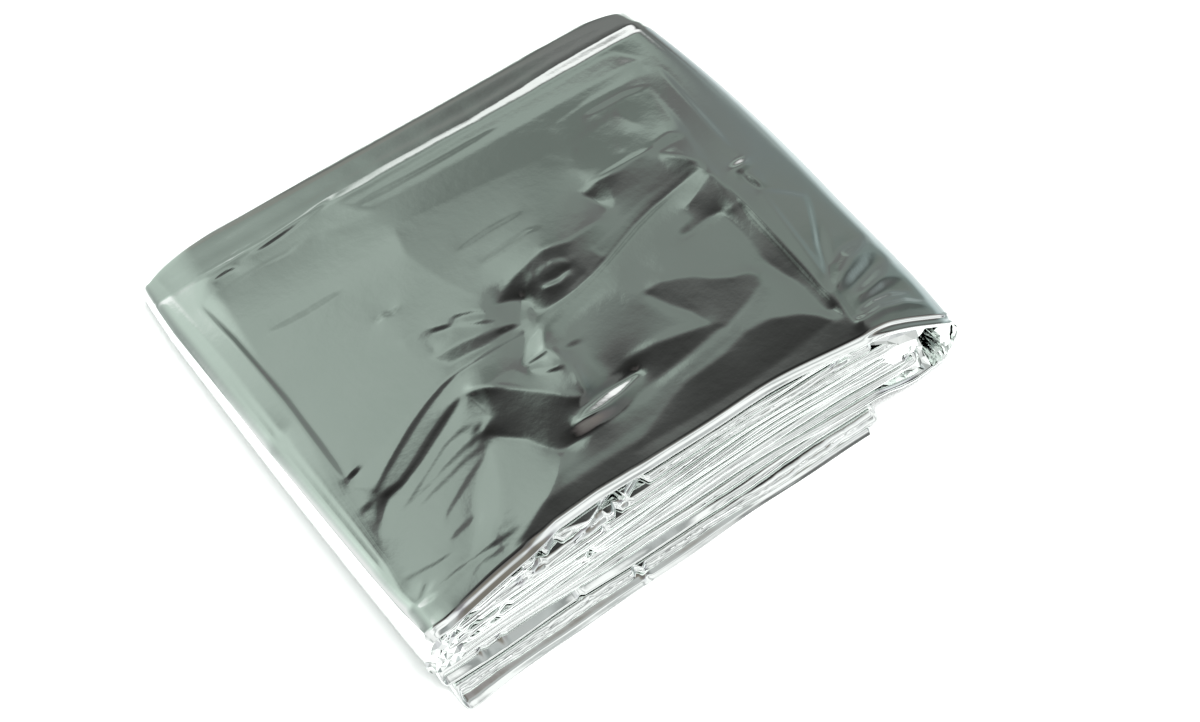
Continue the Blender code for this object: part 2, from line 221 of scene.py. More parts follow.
# Facets: slope up along AWAY and along ASIDE in hundredths, edge softness, and corners.
FACETS = (
    # name, away, aside, soft, corners
    ("left_plain", 0.0, 2.0, 1.0, ((-56, 43), (-27, 43), (-20, 38), (-16, 35), (-17.5, 26), (-15.2, 15), (-12.3, 8), (-10.8, 2), (-20, -3), (-30, -5), (-42, -10), (-56, -18))),
    ("centre_plain", 0.0, -0.5, 1.0, ((-15.5, 34), (0, 33), (20, 30.5), (24, 26), (22, 12), (10, 9), (-2, 10), (-10, 5), (-12, 9), (-15, 16), (-17, 26))),
    ("back_band", -2.0, -0.5, 2.0, ((-27, 41), (-15, 40.3), (20, 40.5), (52, 40), (52, 37), (30, 38.5), (27, 36.8), (50, 34.5), (48, 33), (35, 32), (24, 31), (0, 33), (-15, 35.2), (-22, 38))),
    ("back_strip", -4.0, 0.5, 2.0, ((-20, 47), (0, 47.2), (50, 46.5), (53, 41), (0, 41), (-16, 41))),
    ("patch_upper", -3.5, 0.0, 1.5, ((23, 24), (27, 29.5), (40, 31), (41, 25), (36, 24), (34, 21), (25, 21))),
    ("patch_lower", 7.5, 0.0, 1.5, ((21, 16.5), (25, 18.5), (30, 17.5), (45, 19.5), (47, 17), (40, 16), (43, 12), (23, 11))),
    ("lens", 7.5, 0.0, 0.9, ((-10, 4.3), (-3, 8), (5, 10.2), (11, 8.6), (20, 9.2), (24, 12), (43, 12.5), (45, 9), (30, 8), (18, 5), (14, 4), (15, 0.6), (5, -1.8), (-4, -3), (-5, -1), (-3.5, 2), (-6, 3.2))),
    ("lens_core", 9.5, 0.0, 1.5, ((-4, 2), (0, 4.8), (5, 5), (10, 4), (9, 0), (3, -1.8), (-3, -2.6))),
    ("lens_lower", 7.0, 0.0, 2.0, ((14, 4), (18, 5), (30, 8), (45, 9.5), (44, 7), (30, 5.2), (15, 1))),
    ("long_ridge", -0.5, 1.5, 0.8, ((-4, -3.3), (15, 0.3), (30, 4.8), (38, 6.6), (43, 6.4), (41, 4.5), (36, 1.5), (34, -1), (30, -4.8), (18, -6), (0, -6))),
    ("ridge_end", 7.5, 0.0, 0.8, ((44, 5.5), (41, 3), (36, 1.2), (34.5, -1.8), (31.5, -3.2), (30, -4.8), (33, -5), (38, -4), (41, -4.5), (45, -5), (45.5, 4))),
    ("right_strip", 7.0, 0.0, 0.8, ((41, -4.5), (45.3, -5), (45, -25), (44.2, -38), (42.5, -38), (42.3, -28), (41.2, -25), (40.2, -19), (40.8, -12))),
    ("right_plain", 0.0, 0.0, 3.0, ((22, -11.5), (20, -6), (30, -5.4), (40, -5), (40.6, -14), (40, -20), (38, -20), (30, -16))),
    ("mid_plain", 1.5, 0.0, 5.0, ((-5, -6.5), (14, -6.5), (14, -12), (17, -17), (20, -24), (12, -22.5), (0, -22.5), (-5, -19))),
    ("fin", 5.0, 0.0, 0.6, ((15.8, -11.7), (20, -11.3), (26, -14), (29, -17), (32, -19), (36, -20.3), (37, -22), (35.8, -24), (32, -26), (28, -27.2), (24, -28.5), (22.5, -27.5), (21.6, -25), (20.5, -21), (18.3, -17.5), (17, -14.5))),
    ("hollow", 8.0, 0.0, 0.8, ((-27, -10.3), (-24.5, -10.8), (-20.5, -13.5), (-15, -19), (-11, -24), (-8.5, -26), (-12, -28.5), (-13.5, -29.8), (-5, -30.5), (0, -31), (-4, -32.5), (-20, -33.2), (-21.5, -31.5), (-24, -26.5), (-28, -22.5), (-30, -20.5), (-27.5, -19), (-26.6, -15))),
    ("hollow_tail", 6.3, 0.0, 1.2, ((-8, -25.8), (-3, -25), (3, -23), (10, -23.2), (16, -24.5), (22, -25.8), (24, -27.8), (15, -29.3), (6, -30.3), (-4, -32), (-5, -30), (3.3, -27.5), (3.5, -26.5), (0, -26.3))),
    ("glint", -19.0, 2.0, 0.6, ((-14, -29.5), (-10.5, -27.6), (-4, -26.7), (3.2, -26.5), (3.4, -27.2), (-2, -29), (-8, -30))),
    ("kite_upper", -3.0, 17.0, 0.6, ((-14, -10.8), (-10, -7), (-5.6, -6.2), (-8.3, -10.8), (-8.5, -11.8), (-13.5, -11.7))),
    ("kite_lower", -3.0, 19.0, 0.5, ((-14, -13), (-13, -12.2), (-8.6, -12.3), (-7.2, -15), (-7.6, -16.4), (-11, -15.8))),
    ("hollow_side", -1.0, 7.0, 0.6, ((-20.5, -12), (-16, -12.2), (-14.4, -13.8), (-12, -15.8), (-8, -17.5), (-6, -18.4), (-7.5, -22), (-8, -25.2), (-11, -23.5), (-15, -18.8), (-17.5, -15.5))),
    ("left_margin", -2.6, 0.0, 5.0, ((-68, 4), (-60.0, 4), (-59.2, -14), (-57.8, -20), (-57.6, -26), (-56, -36), (-53, -43), (-68, -44.5))),
    ("left_slope", -1.0, 3.0, 1.0, ((-56, -14), (-46, -10), (-33, -5), (-26, -3.5), (-12, -3), (-9.5, -4.3), (-27, -4.8), (-40, -9.5), (-54, -18.5))),
    ("lower_left", -1.0, 4.5, 1.5, ((-57, -25), (-53, -21), (-44, -19), (-37, -15.5), (-28, -10.5), (-26.8, -18), (-30, -21), (-33, -27), (-36, -33), (-40, -40), (-42, -46), (-50, -48), (-60, -49), (-62, -40), (-60, -30))),
    ("ribbon", -1.5, -1.2, 0.8, ((-9, -4.6), (-20, -4.8), (-27, -5), (-33, -7), (-40, -10), (-47, -14), (-54, -18.8), (-57.5, -24.6), (-56.5, -25), (-53, -21), (-49, -20.5), (-44, -19), (-37, -15.5), (-30, -11.5), (-27, -10), (-22, -11), (-16, -11.5), (-12, -8.3), (-9, -6.3))),
    ("panel", -1.0, 5.5, 0.8, ((-30, -20.5), (-28.5, -22.5), (-24.3, -26.5), (-21.8, -31.5), (-20.3, -34), (-24, -38), (-29, -41), (-33, -44), (-42, -46), (-40, -40), (-36, -33), (-33, -27))),
    ("panel_streak", -1.5, 10.0, 2.0, ((-30.5, -24), (-38, -30), (-44, -38), (-49, -43), (-43, -43), (-36, -36), (-32, -29))),
    ("low_plain", 0.0, 0.0, 1.0, ((-20, -34), (0, -33.5), (6, -32), (20, -30.5), (30, -27.5), (36, -25.5), (41, -25.5), (42.5, -30), (42, -37), (38, -34.5), (32, -31.8), (26, -31.5), (10, -33.8), (0, -37), (-14, -38), (-24, -38.5))),
    ("corner_flame", -2.0, 44.0, 0.8, ((-67, -44.4), (-62, -45.0), (-57.0, -46.4), (-59.4, -47.6), (-56, -48.5), (-50.5, -48.8), (-53.6, -50.2), (-57.4, -51.6), (-67, -52.6))),
    ("front_left", -2.5, 3.5, 1.2, ((-62, -46.5), (-50, -45.9), (-42, -45.2), (-37, -45.8), (-40, -49.5), (-50, -52), (-55, -52))),
    ("front_roll", 3.2, 0.0, 1.2, ((-38, -45.5), (-30, -41.3), (-20, -40), (0, -40), (20, -40), (45, -41), (46, -46.5), (20, -45.5), (-30, -45.8), (-36, -48))),
    ("front_dip", 5.5, 0.0, 1.0, ((0, -38), (5, -35.8), (10, -34.3), (20, -33.6), (26, -31.8), (32, -32.2), (38, -35), (41, -38), (42, -40.5), (20, -42), (0, -42), (-8, -41.5))),
    ("pinch_upper", 2.0, -2.5, 0.9, ((-30, 8.5), (-24, 8.2), (-20, 6), (-18.5, 5), (-22, 5.2), (-27, 6), (-30, 7))),
    ("pinch_light", -1.0, 6.0, 0.6, ((-26, 4.5), (-19, 3.8), (-12, 0.8), (-10.5, -0.6), (-14, -0.2), (-20, 1.8), (-26, 2.2))),
    ("pinch_lower", 4.5, -1.5, 0.8, ((-27.5, 1.2), (-20, 0.8), (-13, -1), (-9.3, -1.6), (-9.3, -2.8), (-16, -2.8), (-26, -2.6))),
    ("pinch_eye", -1.0, 6.0, 0.4, ((-19.2, 5.5), (-17.5, 6.4), (-14, 5.2), (-12, 3.8), (-13, 3), (-15.5, 3.2))),
    ("pinch_tip", -1.0, 4.0, 0.5, ((-8.5, -1.6), (-4.8, 2), (-4.3, 0.8), (-6, -2.4))),
)

# Folds: slope up towards the left of the way from the first point to the last, in hundredths,
# width, and points.
FOLDS = (
    # name, slope, width, points
    ("left_print", 18.0, 0.9, ((-57.3, -13.8), (-56.8, -3), (-56.4, 10), (-56.7, 30), (-57.5, 42))),
    ("left_print_foot", 12.0, 0.8, ((-57.0, -13.2), (-54, -12.2))),
    ("left_print_tail", -5.0, 0.6, ((-54.6, -19), (-57.0, -15))),
    ("left_patch", 3.5, 1.2, ((-58.6, -21.2), (-55.6, -20.2))),
    ("right_print", -15.0, 1.0, ((44.6, -41), (45.0, -25), (45.3, -10), (45.8, 0))),
    ("right_print_upper", 7.0, 1.0, ((45.8, 0), (46.6, 9), (48.2, 20), (49.6, 33))),
    ("right_print_back", -7.0, 1.1, ((49.4, 33.5), (44, 34.6), (34, 34.8))),
    ("right_crease_upper", 12.0, 1.0, ((53, 8), (53.8, 20), (54.8, 36))),
    ("right_crease_lower", 12.0, 0.9, ((45.9, -42), (48.2, -30), (49.6, -18), (51, -5))),
    ("ribbon_upper", 7.0, 0.7, ((-55, -19.4), (-50, -16.1), (-45, -13.2), (-40, -10.5), (-35, -8), (-30, -6.1), (-25, -5), (-17, -4.7), (-8.5, -4.8))),
    ("ribbon_lower", 9.0, 1.0, ((-57.2, -25.1), (-55.2, -22.6), (-53.2, -20.8), (-49, -20.2), (-44, -17.9), (-38, -14.7), (-33, -12.2), (-29, -10.4))),
    ("ribbon_fold", -4.0, 0.8, ((-30, -7.4), (-22, -6.8), (-12, -6.6))),
    ("streak_1", -8.0, 1.1, ((-50, 27.2), (-41, 26.8), (-33, 27.1))),
    ("streak_2", -11.0, 1.1, ((-31.5, 15.4), (-29.5, 16.2), (-28, 15.8), (-26, 16.4))),
    ("streak_3", -8.0, 1.0, ((-8, 20.8), (0, 21.3), (8, 21))),
    ("streak_4", -10.0, 0.9, ((-6, 15), (2, 15.6), (6, 16), (8.5, 15.2))),
    ("streak_5", 17.0, 0.8, ((-52.5, 46.1), (-49, 46.5), (-46, 46.2))),
    ("streak_6", -5.0, 1.2, ((-51, 42.4), (-42, 43.1), (-36, 42.6), (-30, 44))),
    ("streak_7", 4.0, 0.8, ((-18, 44.5), (0, 44), (18, 44.1))),
    ("streak_8", -9.0, 0.9, ((21, 18.9), (30, 18.9), (40, 18.3))),
    ("streak_9", -5.0, 1.0, ((28, 36.8), (38, 37.8), (50, 37.6))),
    ("curl_shadow", 18.0, 1.2, ((-42, 47.2), (-35, 47.9), (-29, 48.7), (-20, 50.0))),
    ("ridge_border", 8.0, 0.6, ((-6, -3.1), (5, -2.2), (10, -1.1), (15, 0.5), (20, 2.4), (25, 4.2), (30, 5.5), (41, 7.1))),
    ("ridge_light", -11.0, 0.9, ((-3, -3.9), (5, -3.1), (10, -2), (15, -0.5), (25, 3.2), (31, 4.8), (38, 6))),
    ("kite_edge_1", 10.0, 0.5, ((-14.2, -11.9), (-8.4, -11.9))),
    ("kite_edge_2", 8.0, 0.5, ((-14.3, -13), (-11.5, -15.9), (-8, -17))),
    ("kite_edge_3", -8.0, 0.5, ((-8, -17), (-7.1, -15.4), (-8.2, -12))),
    ("spot_1", 7.0, 1.7, ((-5.3, -13.2), (-1.5, -13.4))),
    ("pinch_core", 13.0, 1.0, ((-13.5, -1.7), (-9.2, -2.2))),
    ("lens_eye_1", 4.0, 0.7, ((-1.5, 4.2), (1, 6.0), (4.5, 6.6), (7.5, 5.6), (8.4, 3.8))),
    ("lens_eye_2", -5.0, 0.7, ((0.5, 2.2), (4, 1.6), (7.5, 2.4))),
    ("pinch_dot", 9.0, 1.0, ((-24.3, 7), (-19.8, 5.6))),
    ("pinch_rim", 7.0, 0.45, ((-19.5, 5.2), (-16, 3), (-11.5, 0.8))),
    ("pinch_rim_2", 7.0, 0.5, ((-19, 7.2), (-14.5, 5.6), (-11.6, 3.2))),
    ("pinch_line", -5.0, 0.6, ((-26, -3.4), (-17, -3.6), (-8, -3.4))),
    ("lower_1", 2.1, 0.4, ((-52, -25.6), (-46, -22.6), (-41, -20), (-37, -17.9), (-32, -16.9), (-28.5, -18.2))),
    ("lower_2", 1.6, 0.35, ((-50, -25.3), (-40, -22.2), (-34, -20.8), (-30, -20.1))),
    ("lower_3", 1.6, 0.4, ((-50, -27), (-42, -25), (-36, -23.3), (-30, -22.8))),
    ("lower_4", 2.1, 0.35, ((-47.6, -33.6), (-45.5, -31.4), (-42, -29.5), (-37, -26.8), (-32, -24.7))),
    ("lower_spot_1", 3.4, 0.7, ((-33.5, -20.9), (-31.7, -20.5))),
    ("lower_spot_2", 3.4, 0.7, ((-30.9, -18.7), (-29, -18.3))),
    ("lower_light", -4.0, 1.0, ((-45, -23.5), (-38, -20.2), (-32, -18.4))),
    ("lower_5", 1.2, 0.7, ((-49, -37), (-44, -35.8), (-41.3, -35.2))),
    ("lower_6", 1.6, 0.5, ((-61, -39.2), (-54, -39.8), (-49.6, -39.6))),
    ("lower_7", 1.6, 0.5, ((-60, -45), (-52, -43.6), (-45, -43), (-37, -42.9))),
    ("lower_8", 1.3, 0.5, ((-50, -46), (-47, -45), (-40, -44.8))),
    ("lower_9", 1.5, 0.5, ((-61.5, -45), (-57.5, -42))),
    ("side_1", -12.0, 2.2, ((49.6, 3.6), (53.0, 4.2))),
    ("side_2", 9.0, 1.8, ((49.6, 1.4), (53.5, 1.8))),
    ("side_3", -7.0, 0.9, ((50.8, -5.2), (53, -6.8), (55.6, -9.2), (57.6, -11.6))),
    ("side_3b", 9.0, 1.6, ((50.6, 0.5), (51.2, -4.5))),
    ("side_4", 14.0, 0.9, ((46.4, -34.4), (49.2, -28.5), (51.6, -23.0), (54, -18.8), (56.6, -14.0), (57.8, -11))),
    ("side_4b", -7.0, 1.8, ((49.4, -31.0), (52.0, -25.6), (55.4, -20.6))),
    ("side_5", -12.0, 3.0, ((46.6, -34.2), (50.2, -30.6), (54.4, -28.4), (59.8, -27.6))),
    ("side_6", 12.0, 2.4, ((47.4, -35.4), (52, -33.8), (56, -32.6), (59.6, -31.2))),
    ("side_7", -11.0, 2.6, ((50.2, -37.6), (54, -36.8), (57.4, -35.8), (60, -34.6))),
    ("side_7b", 13.0, 2.0, ((49.4, -40.2), (53, -39.4), (56, -39.0), (59.4, -39.8))),
    ("side_8", -16.0, 1.2, ((47.6, -41.8), (51.6, -41.2), (55.6, -41.9), (59, -43.8))),
    ("side_9", 9.0, 1.0, ((46, -44.8), (52, -44.9), (57, -46.5), (60, -49))),
    ("side_10", -16.0, 1.0, ((46.8, -43.3), (52, -43.1), (57, -44.6), (60, -47.2))),
    ("corner_spot", -30.0, 1.2, ((45.9, -43.0), (47.3, -43.0))),
)


def inside(corners, x, y):
    """Distance to the outline of a many-sided facet, positive inside it."""
    found = np.zeros(x.shape, bool)
    nearest = np.full(x.shape, 1e9)
    for (x1, y1), (x2, y2) in zip(corners, corners[1:] + corners[:1]):
        dx, dy = x2 - x1, y2 - y1
        share = np.clip(((x - x1) * dx + (y - y1) * dy) / (dx * dx + dy * dy), 0, 1)
        nearest = np.minimum(nearest, np.hypot(x - x1 - share * dx, y - y1 - share * dy))
        crossing = ((y1 > y) != (y2 > y)) & (x < dx * (y - y1) / (dy if dy else 1e-9) + x1)
        found ^= crossing
    return np.where(found, nearest, -nearest)


def from_line(points, x, y):
    """Distance to a bent line, the share of the way along it, and the direction to its left."""
    lengths = [math.hypot(b[0] - a[0], b[1] - a[1]) for a, b in zip(points, points[1:])]
    total, before = sum(lengths), 0.0
    nearest, way = np.full(x.shape, 1e9), np.zeros(x.shape)
    left_x, left_y = np.zeros(x.shape), np.zeros(x.shape)
    for (x1, y1), (x2, y2), length in zip(points, points[1:], lengths):
        dx, dy = x2 - x1, y2 - y1
        share = np.clip(((x - x1) * dx + (y - y1) * dy) / (dx * dx + dy * dy), 0, 1)
        off = np.hypot(x - x1 - share * dx, y - y1 - share * dy)
        closer = off < nearest
        nearest = np.where(closer, off, nearest)
        way = np.where(closer, (before + share * length) / total, way)
        left_x, left_y = np.where(closer, -dy / length, left_x), np.where(closer, dx / length, left_y)
        before += length
    return nearest, way, left_x, left_y


RELIEF_STEP, RELIEF_HALF = 0.25, 96.0


def solve_relief():
    """The height map whose slopes come nearest to those of the facets and folds."""
    count = int(2 * RELIEF_HALF / RELIEF_STEP)
    line = (np.arange(count) + 0.5) * RELIEF_STEP - RELIEF_HALF
    x, y = np.meshgrid(line, line, indexing="ij")
    k = 2 * np.pi * np.fft.fftfreq(count, RELIEF_STEP)
    kx, ky = np.meshgrid(k, k, indexing="ij")
    k_away = AWAY[0] * kx + AWAY[1] * ky
    k_aside = ASIDE[0] * kx + ASIDE[1] * ky
    strength = k_away**2 + SIDEWAYS * k_aside**2 + LEVELLING
    rounded = np.exp(-0.5 * (kx**2 + ky**2) * 0.28**2)
    owner = np.full(x.shape, len(FACETS) + len(FOLDS))
    cover = []
    for _name, _away, _aside, soft, corners in FACETS:
        xs, ys = [c[0] for c in corners], [c[1] for c in corners]
        i = slice(*np.searchsorted(line, (min(xs) - soft - 1, max(xs) + soft + 1)))
        j = slice(*np.searchsorted(line, (min(ys) - soft - 1, max(ys) + soft + 1)))
        share = ease(0.5 + inside(tuple(corners), x[i, j], y[i, j]) / max(soft, 0.2))
        cover.append((i, j, share, 1.0, 0.0, 0.0, 1.0))
    for _name, _slope, width, points in FOLDS:
        xs, ys = [c[0] for c in points], [c[1] for c in points]
        i = slice(*np.searchsorted(line, (min(xs) - width - 1, max(xs) + width + 1)))
        j = slice(*np.searchsorted(line, (min(ys) - width - 1, max(ys) + width + 1)))
        off, way, left_x, left_y = from_line(points, x[i, j], y[i, j])
        taper = np.clip(np.minimum(way, 1 - way) / 0.18, 0.0, 1.0) ** 0.5
        share = ease(1.25 - off / (0.5 * width * (0.35 + 0.65 * taper)) * 0.75) * (0.4 + 0.6 * taper)
        to_away, to_aside = left_x * AWAY[0] + left_y * AWAY[1], left_x * ASIDE[0] + left_y * ASIDE[1]
        cover.append((i, j, share, to_away, 0.0, to_aside, 0.0))
    for number, (i, j, share, *_rest) in enumerate(cover):
        owner[i, j][share > 0.6] = number
    areas = np.maximum(np.bincount(owner.ravel(), minlength=len(cover) + 1)[:-1], 1)
    # A facet asks for a slope along AWAY and along ASIDE, a fold for one across itself.
    wanted = np.array([(0.01 * row[1], 0.01 * row[2]) for row in FACETS] + [(0.01 * row[1], 0.0) for row in FOLDS])
    asked = wanted.copy()
    # A few rounds, each asking more of the facets and folds that came out too flat.
    for turn in range(ROUNDS):
        away, aside = np.zeros(x.shape), np.zeros(x.shape)
        for (a, b), (i, j, share, away_a, away_b, aside_a, aside_b) in zip(asked, cover):
            away[i, j] += share * (a * away_a + b * away_b - away[i, j])
            aside[i, j] += share * (a * aside_a + b * aside_b - aside[i, j])
        found = -1j * (k_away * np.fft.fft2(away) + SIDEWAYS * k_aside * np.fft.fft2(aside)) / strength * rounded
        if turn == ROUNDS - 1:
            break
        slope_away = np.real(np.fft.ifft2(1j * k_away * found))
        slope_aside = np.real(np.fft.ifft2(1j * k_aside * found))
        got = np.zeros(wanted.shape)
        got[:, 0] = np.bincount(owner.ravel(), slope_away.ravel(), len(cover) + 1)[:-1] / areas
        got[:, 1] = np.bincount(owner.ravel(), slope_aside.ravel(), len(cover) + 1)[:-1] / areas
        for number in range(len(FACETS), len(cover)):
            i, j, share, away_a, _b, aside_a, _c = cover[number]
            mine = owner[i, j] == number
            across = slope_away[i, j] * away_a + slope_aside[i, j] * aside_a
            got[number] = (across[mine].mean() if mine.any() else wanted[number, 0]), 0.0
        step = (wanted - got) * (0.8, 0.5)
        asked = np.clip(asked + step, wanted - 0.16, wanted + 0.16)
    return line, np.real(np.fft.ifft2(found))


# END RELIEF


def cubic_sample(line, field, x, y):
    """Reads the height map between its points, smoothly."""
    step = line[1] - line[0]
    gx = np.clip((x - line[0]) / step, 2, len(line) - 4)
    gy = np.clip((y - line[0]) / step, 2, len(line) - 4)
    i, j = np.floor(gx).astype(int), np.floor(gy).astype(int)
    tx, ty = gx - i, gy - j

    def weights(t):
        return (
            -0.5 * t + t * t - 0.5 * t**3,
            1 - 2.5 * t * t + 1.5 * t**3,
            0.5 * t + 2 * t * t - 1.5 * t**3,
            -0.5 * t * t + 0.5 * t**3,
        )

    total = np.zeros(np.shape(x))
    for a, wx in enumerate(weights(tx)):
        for b, wy in enumerate(weights(ty)):
            total += wx * wy * field[i + a - 1, j + b - 1]
    return total


RELIEF_LINE, RELIEF = solve_relief()

# The strip behind the back crease: slope against the distance behind it, the width of the
# crease's bright flat along X, and how much flatter it is where it is dull.
CURL_SLOPES = (
    (-0.7, 0.0), (0.5, -0.085), (1.0, -0.115), (2.0, -0.12), (2.6, -0.175), (3.4, -0.185), (4.6, -0.215), (6.5, -0.17),
    (9.0, -0.12), (10.8, -0.09), (12.0, -0.16), (13.5, -0.30), (18.0, -0.30),
)
CURL_HOLD = ((-66.0, 0.4), (-24.0, 0.4), (-14.0, 0.9), (10.0, 0.7), (30.0, 1.2), (40.0, 1.7), (56.0, 1.8), (66.0, 1.0))
CURL_DULL = ((-66.0, 0.0), (-16.0, 0.0), (-7.0, 0.022), (16.0, 0.024), (30.0, 0.008), (40.0, 0.0), (66.0, 0.0))
CURL_LINE = np.linspace(-0.7, 18.0, 1200)
CURL_FALL = np.concatenate([[0.0], np.cumsum(np.diff(CURL_LINE) * np.interp(0.5 * (CURL_LINE[1:] + CURL_LINE[:-1]), *zip(*CURL_SLOPES)))])


def soft_ramp(at, softness):
    """Zero before 0 and then as far as the distance past it, with a soft bend."""
    return 0.5 * (at + np.sqrt(at * at + softness * softness))


def relief_at(x, y):
    """Height added by the creases, and by the strips along the back and the two sides, which
    are shaped more finely than the solid's."""
    share = np.clip((y - CURL_START) / (60.0 - CURL_START), 0, 1)
    past = y - 47.4 - 0.25 * wobble(x, 9.1, 2.0)
    hold = along(CURL_HOLD, x)
    past = past - (hold - 1.0) * np.clip((past - 1.0) / hold, 0.0, 1.0)
    strip = CURL_DROP * share**2.2 + np.interp(past, CURL_LINE, CURL_FALL)
    strip = strip + along(CURL_DULL, x) * np.clip(past - 0.3, 0.0, 1.9)
    inner = INNER_RIGHT + INNER_LEAN * y
    margin = np.maximum(RIGHT_WALL + RIGHT_BULGE * bow(y) - inner, 2.0)
    solid = SHOULDER_RIGHT * np.clip(margin / SHOULDER_WIDTH, 0, 1) * ease((x - inner) / margin)
    end = RIGHT_WALL + RIGHT_BULGE * bow(y) + RIGHT_CORNER * ease((-12.0 - y) / 40.0)
    right = solid - 0.045 * soft_ramp(x - inner, 0.6) - 0.42 * soft_ramp(x - end + 0.5, 1.2)
    left = -0.20 * soft_ramp(-61.4 - 1.3 * ease((-33.0 - y) / 9.0) - x, 0.5)
    strip = strip - 0.95 * soft_ramp(y - 59.9, 0.3)
    return cubic_sample(RELIEF_LINE, RELIEF, x - MIDDLE[0], y - MIDDLE[1]) + strip + right + left


# ---------------------------------------------------------------------------
# The film of one pass, cut across, is a closed loop of points: along one face to the front,
# round the pleats' folded edges, back along the other face, and round the back.

# Where the packet is slack, the film's front edge lies behind the solid's.
SLACK_TOP = (
    (-66.0, -1.3), (-60.0, -1.2), (-54.0, -0.8), (-48.0, -0.55), (-40.0, -0.4), (-35.0, 0.2), (-30.0, 1.1), (-22.0, 1.1),
    (-13.0, 0.4), (-7.0, 0.0), (0.0, 0.0), (46.0, 0.0), (53.0, -0.7), (60.0, -1.0), (66.0, -0.6),
)
# Nicks, where a folded edge is pushed in: pass, the X where it starts, is deepest and ends,
# and the depth.
NICKS = (
    ("inner_8", -24.5, -16.3, -15.4, 3.6),
    ("inner_8", -15.2, -10.6, -9.6, 2.3),
    ("inner_8", -38.6, -36.2, -35.4, 1.9),
    ("inner_8", -34.8, -32.0, -31.2, 1.6),
    ("inner_8", -58.6, -55.0, -52.6, 0.9),
    ("inner_8", 40.6, 44.8, 45.8, 2.6),
    ("inner_7", -18.9, -18.0, -17.3, 1.3),
    ("inner_7", -60.6, -58.8, -57.8, 1.6),
    ("inner_6", -57.0, -54.0, -52.8, 0.9),
    ("inner_5", -49.6, -46.6, -45.8, 0.8),
    ("inner_4", -56.4, -55.0, -53.4, 1.5),
    ("inner_4", -52.6, -49.6, -48.6, 1.0),
    ("inner_4", -27.6, -26.2, -25.4, 1.2),
    ("inner_3", -26.9, -25.4, -23.6, 1.0),
    ("inner_3", -60.4, -58.0, -56.0, 0.9),
    ("inner_2", 52.0, 54.0, 57.0, 0.8),
    ("inner_5", 49.0, 51.0, 55.0, 1.2),
    ("cradle", -55.2, -54.2, -53.2, 0.5),
    ("cradle", -50.4, -49.4, -48.4, 0.5),
    ("under_3", -32.4, -31.4, -30.4, 0.6),
    ("under_2", -19.8, -18.8, -17.8, 1.0),
)


def film_front(level, x):
    found = front_edge(level, x)
    if level == TOP:
        found = found + along(SLACK_TOP, x)
    for name, start, deepest, end, depth in NICKS:
        if NAMES.index(name) == level:
            found = found + depth * np.clip(np.minimum((x - start) / (deepest - start), (end - x) / (end - deepest)), 0, 1)
    return found


def shelf(level, x):
    """How far this pass reaches out in front of the one above it."""
    if level == TOP:
        return 1.9 + 0.1 * wobble(x, 3.3, 1.5)
    return np.clip(film_front(level + 1, x) - film_front(level, x), 0.25, 3.2)


# Front profiles, from the lower face to the upper one: distance behind the front edge and
# height as a share of half the thickness.
ROLLED = (  # the top pass at the left: two gently rolled leaves
    (2.2, -1.0), (1.0, -1.02), (0.4, -1.0), (0.1, -0.92), (0.0, -0.80), (0.03, -0.62), (0.35, -0.46), (0.75, -0.26),
    (1.15, -0.06), (1.30, 0.03), (1.58, 0.31), (1.85, 0.58), (2.10, 0.71), (2.42, 0.86), (2.75, 1.0),
)
STEEP = (  # the top pass elsewhere: one steep flat
    (2.4, -1.0), (1.0, -1.16), (0.45, -1.24), (0.10, -1.14), (0.0, -1.0), (0.06, -0.86), (0.22, -0.70), (0.42, -0.5),
    (0.64, -0.3), (0.85, -0.08), (1.05, 0.16), (1.25, 0.42), (1.42, 0.66), (1.57, 0.88), (1.85, 1.0),
)
LEAF = (  # the top pass at the right: a flat leaf in front of the film's edge
    (2.4, -1.0), (1.0, -1.04), (0.35, -1.02), (0.08, -0.97), (0.0, -0.85), (0.02, -0.5), (0.05, -0.1), (0.10, 0.25),
    (0.15, 0.55), (0.26, 0.64), (1.05, 0.42), (1.95, 0.16), (2.06, 0.28), (2.24, 0.62), (2.44, 1.0),
)
GENTLE_LOW = (  # the lowest pass: a slanted nose and a gently rising leaf behind it
    (1.6, -1.0), (0.7, -1.0), (0.25, -1.0), (0.06, -0.97), (0.0, -0.90), (0.10, -0.78), (0.32, -0.58), (0.58, -0.33),
    (0.84, -0.06), (1.10, 0.20), (1.28, 0.34), (1.60, 0.47), (2.05, 0.62), (2.55, 0.80), (3.05, 1.0),
)
GENTLE = (  # the third pass at the left: nearly all of it a gently rising leaf
    (1.6, -1.0), (0.7, -1.0), (0.25, -0.98), (0.06, -0.90), (0.0, -0.78), (0.0, -0.60), (0.03, -0.45), (0.12, -0.32),
    (0.40, -0.14), (0.75, 0.08), (1.10, 0.30), (1.45, 0.52), (1.75, 0.70), (2.0, 0.85), (2.40, 1.0),
)


